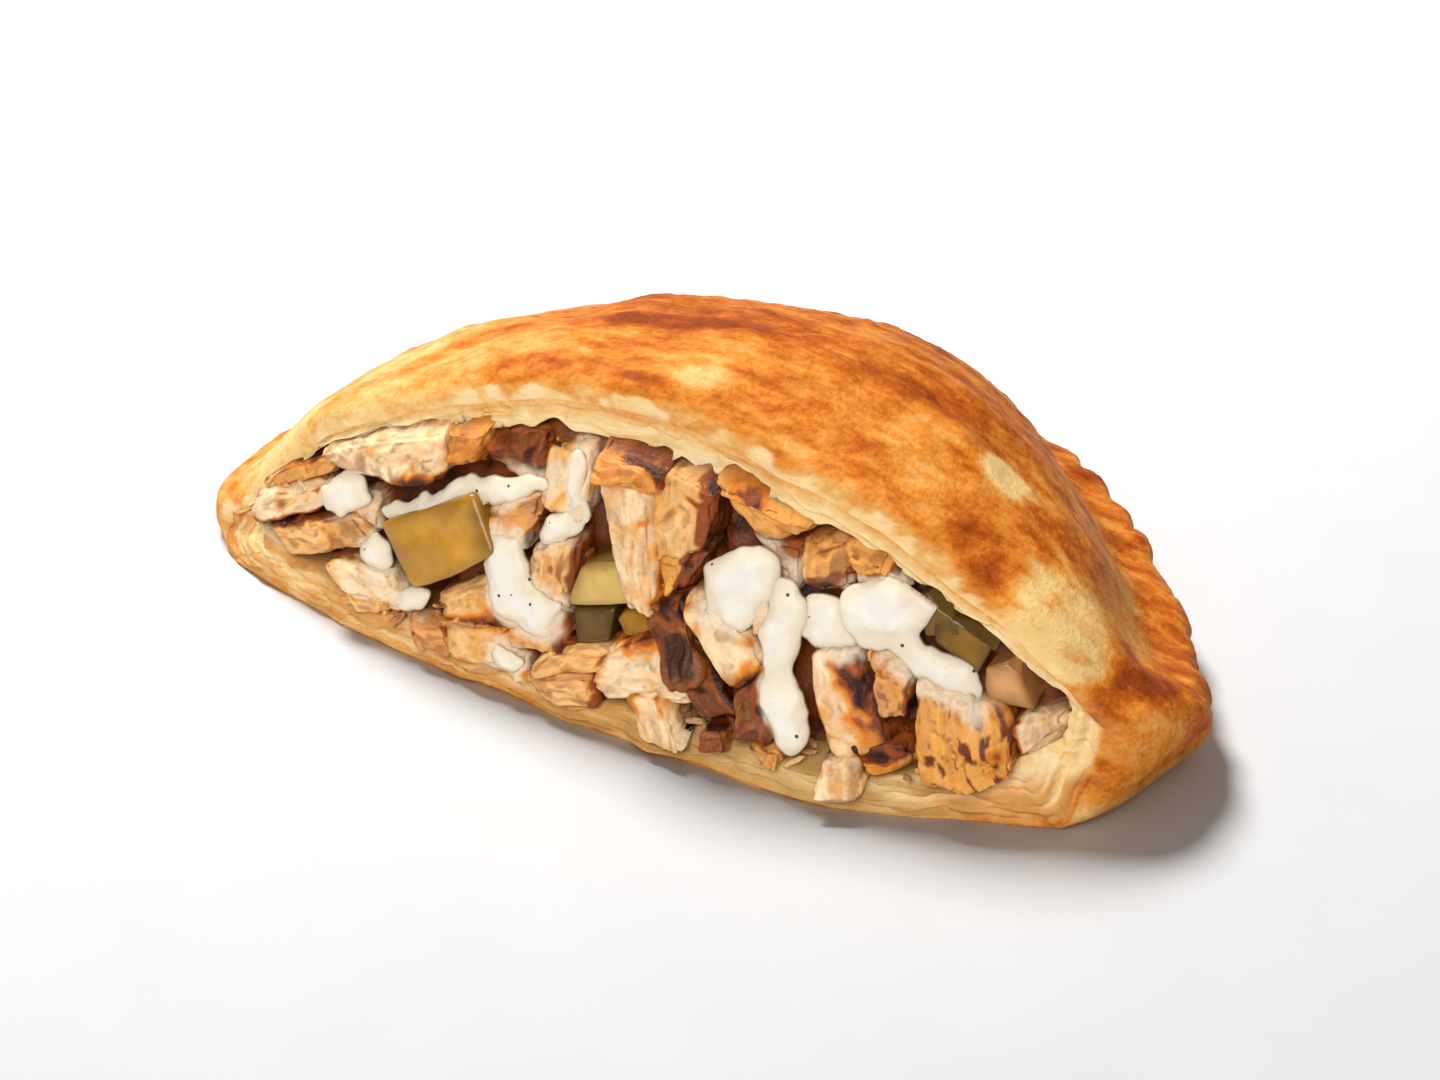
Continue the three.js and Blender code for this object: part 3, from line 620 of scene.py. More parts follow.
PATCHES = [
    Patch((-33, -6), (10, 3.5), 3, 0.34),
    Patch((-11, -8), (8, 3), 5, 0.24),
    Patch((0, -3), (6, 3), 20, -0.3),
    Patch((9, -6), (11, 2.5), 8, 0.14),
    Patch((-74, -5), (9, 3), 25, 0.2),
    Patch((-61, 2), (9, 3.5), 25, 0.22),
    Patch((-49, 10), (10, 5), 20, 0.24),
    Patch((-29, 13), (9, 4.5), 5, 0.32),
    Patch((-15, 16), (12, 5), 5, 0.34),
    Patch((-2, 18), (9, 4.5), 0, 0.3),
    Patch((27, 19), (9, 4.5), 20, 0.2),
    Patch((37, 22), (9, 6), 40, 0.2),
    Patch((34, -4), (12, 5), -30, 0.16),
    Patch((51, 15), (6, 6), 30, -0.85),
    Patch((55, -4), (11, 6), -40, 0.32),
    Patch((63, 11), (8, 9), -50, 0.2),
    Patch((70, -3), (10, 12), -20, -0.46),
    Patch((82, 3), (8, 7), -20, 0.5),
    Patch((82, -7), (4, 5), 0, 0.2),
    Patch((90, -5), (8, 9), 0, -0.16),
]


# Bake of the skin: on the crown, at the back and at the sides, what is left of it at the lip and low down,
# and on the rope and its ridges.
BAKE = SimpleNamespace(
    crown=0.53, back=0.16, back_from=6, back_over=18, right=0.06, right_from=5, right_over=35,
    left=0.27, left_from=20, left_over=45, lip=0.5, lip_from=0.3, lip_over=3, lip_uneven=1.2,
    valley=0.1, valley_spread=0.1, valley_fade=12, low=0.3, low_over=7,
    rope=0.47, ridge=0.3, rope_from=0.97, rope_turn=6,
)
# Clouds and flakes of darker skin: their sizes, and how much they show on the crown and on the rope.
CLOUDS = SimpleNamespace(size=(17, 10, 10), drift=3.0, drift_size=11, crown=0.14, rope=0.1)
FLAKES = SimpleNamespace(
    long=(11, 3.2, 3.2), long_share=0.55, short=(5, 1.6, 1.6), short_share=0.45, sharp=2.2,
    crown=0.15, rope=0.16,
)
# Edges of the spots: where they fade, how uneven they are, and how low on the pie spots end.
SPOT = SimpleNamespace(fade_from=0.45, fade_over=0.75, clouds=0.28, flakes=0.34, even_pale=0.45, lowest=6)
# Where along the cut its upper lip grows thin, from and to, how much less it is rounded there, and where on
# the way to the underside this ends.
THIN_LIP = (50.0, 66.0)
THIN_ROUND = SimpleNamespace(less=0.6, fade_from=1.1, fade_over=0.3)
# The left end stays pale from here on, as far back as this.
LEFT_END = SimpleNamespace(x=-76.0, y=LIP_Y + 10, over_x=14, over_y=10, pale=0.18)
# From where the right end's lobe is smooth and evenly golden, and its raised crest.
LOBE_FACE = SimpleNamespace(x=76.0, y=4.0, over=6, smooth=0.8)
LOBE_CREST = SimpleNamespace(x=81.0, y=3.0, half_x=7.0, half_y=5.0, height=1.8, lowest=12)


def thinness(x):
    """How thin the upper lip is at a place along the cut, from 0 to 1."""
    return ease((x - THIN_LIP[0]) / (THIN_LIP[1] - THIN_LIP[0]))


def bake_of(points, dome_share, ridge):
    """How browned the skin is, from 0 to 1: more on the crown, the back and the ridges of the rope."""
    x, y, z = points[..., 0], points[..., 1], points[..., 2]
    drift = np.stack([noise(points, CLOUDS.drift_size, seed) for seed in (1, 2, 3)], axis=-1)
    bent = points + CLOUDS.drift * drift
    lobe = LOBE_FACE.smooth * ease((x - LOBE_FACE.x) / LOBE_FACE.over)
    smooth = 1 - lobe * (1 - ease((y - LOBE_FACE.y) / LOBE_FACE.over))
    clouds = fractal(bent, CLOUDS.size, 5) * smooth
    long_flakes = np.tanh(FLAKES.sharp * noise(bent, FLAKES.long, 9))
    short_flakes = np.tanh(FLAKES.sharp * noise(bent, FLAKES.short, 11))
    flakes = (FLAKES.long_share * long_flakes + FLAKES.short_share * short_flakes) * smooth
    lip = ease((y - LIP_Y - BAKE.lip_from - BAKE.lip_uneven * clouds) / BAKE.lip_over)
    back = BAKE.back * ease((y - BAKE.back_from) / BAKE.back_over)
    right = BAKE.right * ease((x - BAKE.right_from) / BAKE.right_over)
    left = BAKE.left * ease((-x - BAKE.left_from) / BAKE.left_over)
    crown = BAKE.crown + back + CLOUDS.crown * clouds + FLAKES.crown * flakes - right - left
    valley = near(dome_share - 1, BAKE.valley_spread) * (1 - near(y - LIP_Y, BAKE.valley_fade))
    dome = crown * mix(BAKE.lip, 1, lip) - BAKE.valley * valley
    rope = BAKE.rope + BAKE.ridge * ridge + FLAKES.rope * flakes + CLOUDS.rope * clouds
    bake = mix(dome, rope, ease((dome_share - BAKE.rope_from) * BAKE.rope_turn))
    for spot in PATCHES:
        c, s = math.cos(math.radians(spot.turn)), math.sin(math.radians(spot.turn))
        dx, dy = x - spot.at[0], y - spot.at[1]
        reach = np.hypot((dx * c + dy * s) / spot.half[0], (dy * c - dx * s) / spot.half[1])
        uneven = (SPOT.clouds * clouds + SPOT.flakes * flakes) * (1 if spot.bake > 0 else SPOT.even_pale)
        inside = 1 - ease((reach + uneven - SPOT.fade_from) / SPOT.fade_over)
        bake = bake + spot.bake * inside * (z > SPOT.lowest)
    pale = LEFT_END.pale * ease((LEFT_END.x - x) / LEFT_END.over_x)
    bake = bake - pale * (1 - ease((y - LEFT_END.y) / LEFT_END.over_y))
    return np.clip(bake * mix(BAKE.low, 1, ease(z / BAKE.low_over)), 0, 1)


def soften(grid, rows, weight):
    """Evens a grid out along its columns, by so many rows either way, where its weight says so."""
    reach = 3 * rows
    taps = near(np.arange(-reach, reach + 1), rows * math.sqrt(2))
    padded = np.pad(grid, ((reach, reach), (0, 0), (0, 0)), mode="edge")
    blurred = sum(tap * padded[k : k + len(grid)] for k, tap in enumerate(taps)) / taps.sum()
    return mix(grid, blurred, weight[..., None])


# How far the crumb at the cut is torn over the skin, and from where the right end has none.
TORN = SimpleNamespace(
    wide=0.7, uneven=1.4, size=(4, 2.5, 2.5), share=0.85, above=8, ends=70.0, ends_over=6, fade=0.9
)
# The lower lip lies in thin sheets, with one small flake that sticks out, and is darker under the filling:
# partly toasted crumb, partly painted shade.
LOWER_LIP = SimpleNamespace(
    height=7.0, height_over=4, layer=1.9, wander=0.6, wander_size=(14, 3, 1), step=0.7,
    wave=0.7, wave_length=13, flake=1.6, flake_at=4.0, flake_half=3.5,
    bake=0.26, crumb=0.3, toast=0.7, toast_at=24.0, toast_half=32.0,
)
# The cavity: where its rim lies on the way from ceiling to floor, and its uneven edge at the cut.
CAVITY_RIM = (0.45, 0.55)
RAGGED_EDGE = SimpleNamespace(reach=7, above=1.1, below=0.3, thin=0.7, size=(5, 5, 4), roll_reach=6)
# The torn cut face: its layers, pores and waves, and how far from skin and cavity it is free to move.
CUT = SimpleNamespace(
    layers=(9, 1.7, 1), pores=(2.6, 1.6, 1), pore_from=0.25, pore_over=0.4, pore_depth=0.7,
    waves=(4, 2, 1), wave=0.35, tints=(20, 8, 1), rounding=1.6, skin_edge=2.5, cavity_edge=1.2,
)
# Bake of the cut: next to the underside's front, in the cavity, and on from the skin over a share of the cut.
CUT_BAKE = SimpleNamespace(plain=0.15, cavity=0.1, skin=0.6, skin_reach=0.2)
# Golden layers, toast with painted shade, and crumb of the cut: how far each grows with the layers, and over
# what way.
CUT_LAYER = SimpleNamespace(plain=0.72, layers=0.9, tints=0.5)
CUT_TOAST = SimpleNamespace(over=2, plain=0.12, under=0.85, layers=0.5)
CUT_CRUMB = SimpleNamespace(start=0.4, layers=0.8, over=3, less=0.85)
# How much the ridges of the rope count where it has few folds, and how soon they count fully.
RIDGE_PLAIN, RIDGE_SOON = 0.45, 1.4
# Where the dome is softened into the rope, as shares on from the lip's middle, and over how many rows.
MEETING = SimpleNamespace(start=0.78, full=0.14, end=1.2, fade=0.3, rows=4)
# Relief of the skin: the sizes of its swells and wrinkles, and how high above the ground it is at its full.
SKIN = SimpleNamespace(swell=15, wrinkle=(3.4, 2.6, 2.6), calm=0.5, baked=1.3, free_from=4)
# How far the upper lip waves up and down, over which length, and how far back from the lip this reaches.
LIP_WAVE = SimpleNamespace(height=0.7, length=7, reach=5)


def skin_grid(look):
    """The baked skin as rows from the lip's middle to the underside's front, its bake and its torn crumb.
    Its rows count from 0 to 1 on the dome, on to 2 on the rope and on to 3 on the underside."""
    theta = even_angles(COLUMNS + 1)
    u = np.linspace(0, 1, DOME_ROWS + 1)[1:, None]
    f = np.linspace(0, 1, ROPE_ROWS + 1)[1:, None]
    v = np.linspace(0, 1, UNDER_ROWS + 2)[1:-1, None]
    rope = rope_points(theta, f, look.crimp / MM)
    plain = np.concatenate([dome_points(theta, u), rope, under_points(theta, v)])
    dome_share = np.concatenate([u, 1 + f, 2 + v]) * np.ones_like(theta)
    meeting = ease((dome_share - MEETING.start) / MEETING.full)
    plain = soften(plain, MEETING.rows, meeting * (1 - ease((dome_share - MEETING.end) / MEETING.fade)))
    plain[..., 2] = np.maximum(plain[..., 2], 0)
    x, y, z = plain[..., 0], plain[..., 1], plain[..., 2]
    normal = np.cross(np.gradient(plain, axis=0), np.gradient(plain, axis=1))
    normal /= np.maximum(np.linalg.norm(normal, axis=-1, keepdims=True), 1e-9)
    fold = np.abs(np.cos(crimp_phase(theta) / 2 + CRIMP_TWIST * math.pi / 4)) ** CRIMP_FLAT
    ridge = mix(RIDGE_PLAIN, fold, np.minimum(1, RIDGE_SOON * crimp_height(theta)))
    ridge = np.broadcast_to(ridge, dome_share.shape)
    bake = bake_of(plain, dome_share, ridge)

    relief = look.swell / MM * (fractal(plain, SKIN.swell, 21) - 1)
    relief += look.wrinkle / MM * (fractal(plain, SKIN.wrinkle, 31) * mix(SKIN.calm, SKIN.baked, bake))
    thin = thinness(x) * (1 - ease((dome_share - THIN_ROUND.fade_from) / THIN_ROUND.fade_over))
    round_off = look.lip / MM * (1 - THIN_ROUND.less * thin)
    inside = np.clip(1 - (y - LIP_Y) / round_off, 0, 1)
    relief -= round_off * (1 - np.sqrt(1 - inside**2))
    crest = np.hypot((x - LOBE_CREST.x) / LOBE_CREST.half_x, (y - LOBE_CREST.y) / LOBE_CREST.half_y)
    relief += LOBE_CREST.height * near(crest, 1) * (z > LOBE_CREST.lowest)
    free = ease(z / SKIN.free_from) * (dome_share < 2)
    skin = plain + normal * (relief * free)[..., None]

    at_lip = near(y - LIP_Y, LIP_WAVE.reach)
    skin[..., 2] += LIP_WAVE.height * noise(plain, LIP_WAVE.length, 41) * at_lip * (dome_share < 0.9)
    wavy = fractal(plain * np.array([1, 0, 0]), LOWER_LIP.wave_length, 43)
    skin[..., 1] -= LOWER_LIP.wave * wavy * at_lip * (dome_share >= 2)
    torn = TORN.wide + TORN.uneven * fractal(plain, TORN.size, 47) - (y - LIP_Y)
    crumb = TORN.share * ease(torn / TORN.wide) * (dome_share < 1.9) * ease(z / TORN.above)
    return skin, bake, crumb * (1 - TORN.fade * ease((x - TORN.ends) / TORN.ends_over))


def refined(loop, factor):
    """A closed loop with its steps cut into equal shares."""
    places = np.arange(len(loop) * factor + 1) / factor
    ring = np.concatenate([loop, loop[:1]])
    return np.stack([np.interp(places, np.arange(len(ring)), ring[:, k]) for k in range(3)], axis=1)


def crust_mesh(look):
    """The crust's points in mm, faces and finish: skin, cut face and cavity in one closed sheet."""
    skin, bake, torn = skin_grid(look)
    sheet = Sheet()
    top = sheet.add((skin[0, :1] + skin[0, -1:]) / 2)[0]
    bottom = sheet.add(np.array([[0, LIP_Y, 0.0]]))[0]
    ids = sheet.add(skin)
    sheet.fan(top, ids[0])
    sheet.grid(list(ids))
    sheet.fan(bottom, ids[-1][::-1])
    bakes = [np.full(2, CUT_BAKE.plain), bake.ravel()]
    crumbs = [np.zeros(2), torn.ravel()]
    toasts = [np.zeros(2 + bake.size)]

    ceiling = np.linspace(0, CAVITY_RIM[0], DOME_ROWS + 1)[1:]
    rim = np.linspace(*CAVITY_RIM, ROPE_ROWS + 1)[1:]
    stretch = np.concatenate([ceiling, rim, np.linspace(CAVITY_RIM[1], 1, UNDER_ROWS + 2)[1:-1]])
    cavity = cavity_points(even_angles(CAVITY_COLUMNS + 1), stretch[:, None], 0.0)
    to_lip = cavity[..., 1] - LIP_Y
    depth = mix(RAGGED_EDGE.above, RAGGED_EDGE.below, stretch > 0.5)
    ragged = near(to_lip, RAGGED_EDGE.reach) * depth[:, None]
    ragged = ragged * (1 - RAGGED_EDGE.thin * thinness(cavity[..., 0]))
    cavity[..., 2] += ragged * fractal(cavity, RAGGED_EDGE.size, 45)
    cavity[..., 1] += look.roll / MM * near(to_lip, RAGGED_EDGE.roll_reach)
    hollow = sheet.add(cavity)
    roof = sheet.add(cavity_points(0.0, np.zeros(1), 0.0))[0]
    ground = sheet.add(cavity_points(0.0, np.ones(1), 0.0))[0]
    sheet.grid(list(hollow[::-1]))
    sheet.fan(roof, hollow[0][::-1])
    sheet.fan(ground, hollow[-1])
    floor = np.append(np.broadcast_to((stretch > CAVITY_RIM[1])[:, None], cavity.shape[:2]).ravel(), [0, 1])
    bakes.append(mix(CUT_BAKE.cavity, LOWER_LIP.bake, floor))
    crumbs.append(mix(1, LOWER_LIP.crumb, floor))
    # Painted shade with toast on the cavity's floor, under the filling.
    toasts.append(LOWER_LIP.toast * floor)

    points = sheet.all_points()
    outer_ids = np.concatenate([[top], ids[:, 0], [bottom], ids[::-1, -1]])
    inner_ids = np.concatenate([[roof], hollow[:, 0], [ground], hollow[::-1, -1]])
    outer_bake = np.concatenate(bakes)[outer_ids]
    rows = [np.append(outer_ids, outer_ids[0])]
    for k in range(1, CUT_ROWS):
        factor = 2 if k in (1, CUT_ROWS - 1) else 4
        outer, inner = (refined(points[loop], factor)[:-1] for loop in (outer_ids, inner_ids))
        row, crumb, layer, toast = cut_row(outer, inner, k / CUT_ROWS, look)
        made = sheet.add(row)
        rows.append(np.append(made, made[0]))
        near_skin = np.repeat(outer_bake, factor) * near(k / CUT_ROWS, CUT_BAKE.skin_reach)
        bakes.append(CUT_BAKE.plain + CUT_BAKE.skin * near_skin + LOWER_LIP.bake * layer)
        crumbs.append(crumb)
        toasts.append(toast)
    rows.append(np.append(inner_ids, inner_ids[0]))
    sheet.grid(rows)
    finish = {"bake": np.concatenate(bakes), "crumb": np.concatenate(crumbs), "toast": np.concatenate(toasts)}
    return sheet.all_points(), sheet.faces, finish


def cut_row(outer, inner, t, look):
    """One row of the cut face: flat from the skin, rounded into the cavity and torn along its layers;
    with it how much of the row is crumb, how much a golden layer, and how far it is darkened
    as toasted crumb and painted shade."""
    across = np.linalg.norm(outer - inner, axis=1)
    along = np.cumsum(np.linalg.norm(np.diff(outer, axis=0, append=outer[:1]), axis=1))
    row = mix(outer, inner, t)
    roll, tear = look.roll / MM, look.tear / MM
    from_skin, from_cavity = t * across, (1 - t) * across
    rounding = np.clip(1 - from_cavity / (CUT.rounding * roll), 0, 1)
    row[:, 1] = mix(outer[:, 1], inner[:, 1], 1 - np.sqrt(1 - rounding**2))
    strip = np.stack([along, from_skin, np.zeros_like(along)], axis=1)
    layers = fractal(strip, CUT.layers, 51)
    pores = ease((noise(strip, CUT.pores, 61) - CUT.pore_from) / CUT.pore_over)
    free = ease(from_skin / CUT.skin_edge) * np.minimum(1, from_cavity / CUT.cavity_edge)
    low = 1 - ease((row[:, 2] - LOWER_LIP.height) / LOWER_LIP.height_over)
    wander = LOWER_LIP.wander * noise(strip, LOWER_LIP.wander_size, 67)
    sheets = 1 - (from_skin / LOWER_LIP.layer + wander) % 1
    flake = LOWER_LIP.flake * near(row[:, 0] - LOWER_LIP.flake_at, LOWER_LIP.flake_half)
    torn = free * tear * (layers - CUT.pore_depth * pores)
    row[:, 1] -= torn + ease(from_skin) * low * (LOWER_LIP.step * sheets + flake)
    row[:, 2] += free * CUT.wave * tear * noise(strip, CUT.waves, 71)
    tints = CUT_LAYER.tints * noise(strip, CUT.tints, 73)
    layer = low * ease(CUT_LAYER.plain + CUT_LAYER.layers * layers + tints)
    # Painted shade: the lower lip darkens most under the middle of the filling; its layers add toast.
    under = near(row[:, 0] - LOWER_LIP.toast_at, LOWER_LIP.toast_half)
    toasted = np.clip(CUT_TOAST.plain + CUT_TOAST.under * under + CUT_TOAST.layers * layers, 0, 1)
    toast = low * ease(from_skin / CUT_TOAST.over) * toasted
    crumb = ease((from_skin + CUT_CRUMB.layers * layers - CUT_CRUMB.start) / CUT_CRUMB.over)
    return row, crumb * (1 - CUT_CRUMB.less * layer), layer, toast


def crust_material(look):
    """Dough: mottled bake on the skin, pale crumb with denser layers at the cut, and darker crumb on the
    lower lip, partly painted shade.
    """
    n = Nodes("baked_dough")
    coarse = n.noise(300, 4, 0.65, (0.6, 1.2, 1.2))
    fine = n.noise(900, 3, 0.6)
    mottle = n.math("ADD", n.math("MULTIPLY", coarse, 0.8), n.math("MULTIPLY", fine, 0.4))
    bake = n.math("ADD", n.attribute("bake"), n.math("SUBTRACT", mottle, 0.6), clamp=True)
    skin = n.ramp(bake, [
        (0.04, tuple(look.pale)),
        (0.26, tuple(look.golden)),
        (0.5, tuple(look.amber)),
        (0.74, tuple(look.brown)),
        (0.98, tuple(look.dark)),
    ])
    layered = n.noise(420, 3, 0.6, (0.35, 1, 1.4))
    inside = n.ramp(layered, [(0.36, tuple(look.layer)), (0.58, tuple(look.crumb))])
    crumb = n.attribute("crumb")
    # Darker crumb on the lower lip and the cavity's floor: partly toasted, partly painted shade.
    dough = n.blend(n.attribute("toast"), n.blend(crumb, skin, inside), tuple(look.toast))
    n.join(dough, n.shader.inputs["Base Color"])
    gloss = n.add("ShaderNodeMapRange")
    for socket, value in (("From Min", 0.0), ("From Max", 1.0), ("To Min", 0.6), ("To Max", 0.85)):
        gloss.inputs[socket].default_value = value
    n.join(crumb, gloss.inputs["Value"])
    n.join(gloss.outputs["Result"], n.shader.inputs["Roughness"])
    n.set(Subsurface_Weight=0.12, Subsurface_Radius=(0.9, 0.5, 0.25), Subsurface_Scale=0.003)
    n.set(Specular_IOR_Level=0.08)
    n.bump(n.math("ADD", fine, coarse), 0.0006, 0.5)
    return n.material


class PIE_OT_crust(bpy.types.Operator):
    """Make the baked crust with its crimped rope and torn cut"""

    bl_idname = "pie.crust"
    bl_label = "Crust"

    def execute(self, context):
        look = context.scene.pie_crust
        points, faces, finish = crust_mesh(look)
        made = mesh_object("baked_crust", to_part(points), faces, crust_material(look), finish)
        settle(made, "crust", "crust")
        return {"FINISHED"}


# Chicken.
class Chunk(NamedTuple):
    """A piece of chicken: its corners along and up the cut, clockwise from the upper left, how far it stands
    out, its tone, the side that is seared, from where across the piece the sear starts, its tone, the piece's
    specks, and over what share of the piece the sear grows."""

    corners: tuple
    front: float
    tone: str
    sear: float = 0
    start: float = 2
    crust: str = "brown"
    specks: float = 0.3
    spread: float = 0.6


CHICKEN = [
    Chunk(((-91, 18), (-74, 28), (-72, 25), (-91, 14)), -2, "golden", 90, 0.4, "orange"),
    Chunk(((-91, 15), (-75, 23), (-74, 18), (-93, 8)), -0.5, "cream", -90, 0.6, "brown", 0.2),
    Chunk(((-88, 10), (-67, 20), (-60, 16), (-81, 7)), 0.5, "pale", 90, 0.5, "brown", 0.5),
    Chunk(((-67, 23), (-60, 25), (-59, 19), (-67, 18)), -0.5, "pink", -90, 0.2, "brown", 0.6),
    Chunk(((-72, 31), (-48, 42), (-45, 33), (-65, 26)), 0.5, "cream", -90, 0.3, "orange", 0.5),
    Chunk(((-48, 43), (-38, 46), (-38, 37), (-47, 35)), 0, "orange", 0, 0.8, "brown", 0.1),
    Chunk(((-39, 44), (-27, 47), (-26, 39), (-39, 36)), -1.5, "brown", -45, -0.2, "char", 0.6),
    Chunk(((-30, 46), (-17, 49), (-16, 45), (-29, 42)), -3, "char"),
    Chunk(((-26, 45), (-15, 48), (-15, 35), (-26, 35)), -0.5, "pale", 180, 0.6, "brown", 0.2),
    Chunk(((-38, 33), (-23, 37), (-25, 27), (-34, 26)), 0.5, "pink", -45, 0.3, "brown", 0.5),
    Chunk(((-25, 29), (-16, 32), (-16, 18), (-25, 20)), 1.2, "pale", 0, 0.55, "brown", 0.6),
    Chunk(((-44, 13), (-30, 22), (-26, 13), (-45, 7)), 1, "pale", -90, 0.2, "orange", 0.3),
    Chunk(((-29, 14), (-16, 20), (-15, 12), (-26, 9)), 1.5, "golden", 0, 0.3, "brown", 0.4),
    Chunk(((-19, 12), (-5, 17), (-6, 12), (-21, 6)), 2.5, "pale", 0, 0.7, "brown", 0.3),
    Chunk(((-69, 11), (-55, 14), (-48, 8), (-57, 5)), 1.8, "cream", 90, 0.9, "brown", 0.4),
    Chunk(((-43, 8), (-28, 12), (-23, 7), (-38, 4)), 2.5, "pale", -90, 0.5, "orange", 0.2),
    Chunk(((-15, 46), (-2, 48), (3, 27), (-4, 24)), 2.5, "cream", -20, 0.8, "orange", 0.1),
    Chunk(((-14, 50), (-2, 54), (0, 46), (-13, 45)), 4.2, "orange", 30, 0.1, "orange", 0.2),
    Chunk(((-3, 47), (8, 49), (10, 37), (0, 33)), 1.8, "pale", 0, 0.4, "brown", 0.3),
    Chunk(((0, 35), (8, 37), (8, 30), (1, 26)), 1.5, "golden", -20, -0.1, "brown", 0.4),
    Chunk(((-4, 50), (5, 52), (5, 46), (-3, 45)), -2, "brown"),
    Chunk(((9, 47), (17, 52), (29, 43), (19, 39)), 0.5, "golden", 60, 0.2, "orange", 0.3, 2.0),
    Chunk(((15, 40), (26, 41), (27, 33), (21, 34)), -0.8, "brown", -90, 0, "char"),
    Chunk(((26, 41), (33, 44), (36, 34), (28, 34)), 0.3, "golden", -80, 0, "brown", 0.5),
    Chunk(((32, 42), (40, 43), (46, 37), (36, 35)), -0.3, "golden", -60, -0.1, "brown", 0.5),
    Chunk(((7, 28), (11, 31), (24, 22), (18, 15)), 2.5, "cream", -90, 0.6, "orange", 0.1),
    Chunk(((1, 26), (7, 28), (13, 16), (7, 12)), 2.4, "char", 60, 0.2, "brown"),
    Chunk(((8, 14), (13, 18), (22, 11), (15, 9)), 1.8, "char", 0, 0.4, "brown"),
    Chunk(((19, 15), (25, 20), (27, 9), (21, 8)), 0.8, "brown", 45, -0.2, "char"),
    Chunk(((-6, 18), (5, 22), (12, 11), (-8, 8)), 2.5, "cream", 90, 0, "orange", 0.2, 1.2),
    Chunk(((30, 27), (41, 28), (50, 12), (40, 6)), 3.5, "cream", 20, -0.5, "orange", 0.1, 1.0),
    Chunk(((40, 27), (49, 26), (50, 17), (46, 16)), 1.5, "pink", 0, 0.6, "brown", 0.6),
    Chunk(((42, 11), (51, 14), (54, 8), (44, 5)), 2.2, "orange", 90, -0.4, "brown", 0.4),
    Chunk(((52, 23), (64, 24), (70, 4), (57, 8)), 4.2, "golden", -20, 0.1, "orange", 1.0, 2.2),
    Chunk(((68, 19), (75, 20), (75, 8), (70, 10)), 0.5, "cream", 180, 0.6),
    Chunk(((19, 30), (23, 32), (24, 25), (20, 24)), 0.5, "golden", -90, 0.4),
]
# Small pieces that lie on the lower lip.
BITS = [
    Chunk(((-66, 8), (-57, 11), (-53, 7), (-61, 4)), 2.8, "pale", -90, 0.6, "orange", 0.3),
    Chunk(((-51, 8), (-41, 9), (-38, 4), (-47, 3)), 2.8, "pink", 0, 0.6, "brown", 0.4),
    Chunk(((-34, 7), (-24, 9), (-20, 4), (-30, 2)), 2.4, "cream", 0, 0.8, "orange", 0.2),
    Chunk(((-21, 7), (-9, 10), (-7, 5), (-17, 2)), 3.6, "pale", 0, 0.6, "brown", 0.4),
    Chunk(((-3, 10), (8, 11), (13, 2), (6, 1)), 3.8, "cream", -90, 0.9, "orange", 0.1),
    Chunk(((14, 8), (19, 9), (20, 5), (15, 4)), 2.2, "brown", 90, 0.2, "brown", 0.5),
    Chunk(((23, 7), (30, 8), (31, 3), (24, 2)), 2.6, "golden", 0, 0.6, "brown", 0.4),
    Chunk(((36, 9), (43, 9), (45, 1), (39, 1)), 4.2, "cream", 0, 0.9, "orange", 0.1),
]
# A piece of chicken: its depth, how far it fills its corners, the fine and coarse steps of its mesh, the size
# from which it is fine, how much closer the steps are in front, and how rounded, tilted and chamfered it is.
CHUNK = SimpleNamespace(
    depth=15.0, full=1.06, fine=30, coarse=24, large=12, front_bias=0.3, roundness=10, tilt=0.12, chamfers=2
)
# Sizes of a piece's bends, lumps, fibres and strands in mm, its fibres along the first number.
GRAIN = SimpleNamespace(
    bend=1.5, bends=4.5, lumps=6.5, small_lumps=2.4, fibres=(7, 1.7, 1.4), strands=(10, 1.3, 1.1),
    nicks=(3.4, 1.9, 1.9),
)
# How deep the edges of a piece are torn, and where along its edges this starts and grows.
RAGGED = SimpleNamespace(depth=1.3, start=0.12, over=0.4, share=0.35)
# Sizes of the warm, rosy, burnt, seared and speckled patches of a piece.
PATCHY = SimpleNamespace(
    warm=(6, 3, 3), rosy=(5, 2, 2), burnt=(2.8, 1.7, 1.7), seared=3, swirl=1.8,
    small=(2.4, 1.1, 1.1), large=(4.2, 1.8, 1.8), shade=(3, 1.6, 1.6), smear=2.5,
)
# How strongly each of these tints a piece's flesh, and what is left of it on dark and on cream pieces;
# deep is painted shade in the hollows, and gap with gap_tone is painted shade on the sides between pieces.
FLESH = SimpleNamespace(
    dark=0.15, cream=0.5, golden=0.5, pink=0.6, rosy=0.7, fibres=0.5, cream_fibres=0.3, deep=0.5, burnt=0.6,
    golden_sear=0.75, speck=0.55, shade=0.22, gap=0.8, gap_tone=0.7, smear=0.8, smear_uneven=0.3,
)
# How far a piece's side, its patches and its edges are seared.
SEARED = SimpleNamespace(side=0.9, patches=0.4, edges=0.45, edge_from=0.4, edge_over=0.25)
# Steps of a sear: its tone, or the piece's own, the level at which it starts, and over what it grows.
SEAR = (("golden", 0, 0.3), ("own", 0.22, 0.25), ("brown", 0.5, 0.25), ("char", 0.78, 0.25))
# Painted shade: from how deep behind a piece's front its sides darken, and to where.
GAP_DEPTH = (1.6, 5.0)
# Shares of red, green and blue that thin sauce, and the strands of a piece, leave.
SMEAR_TINT = (0.96, 0.85, 0.7)
STRAND_TINT = (0.9, 0.74, 0.6)
# How far a piece ends below the crumb of the upper lip, and how much this differs from piece to piece.
LIP_GAP, LIP_GAP_STEP = 1.0, 0.2
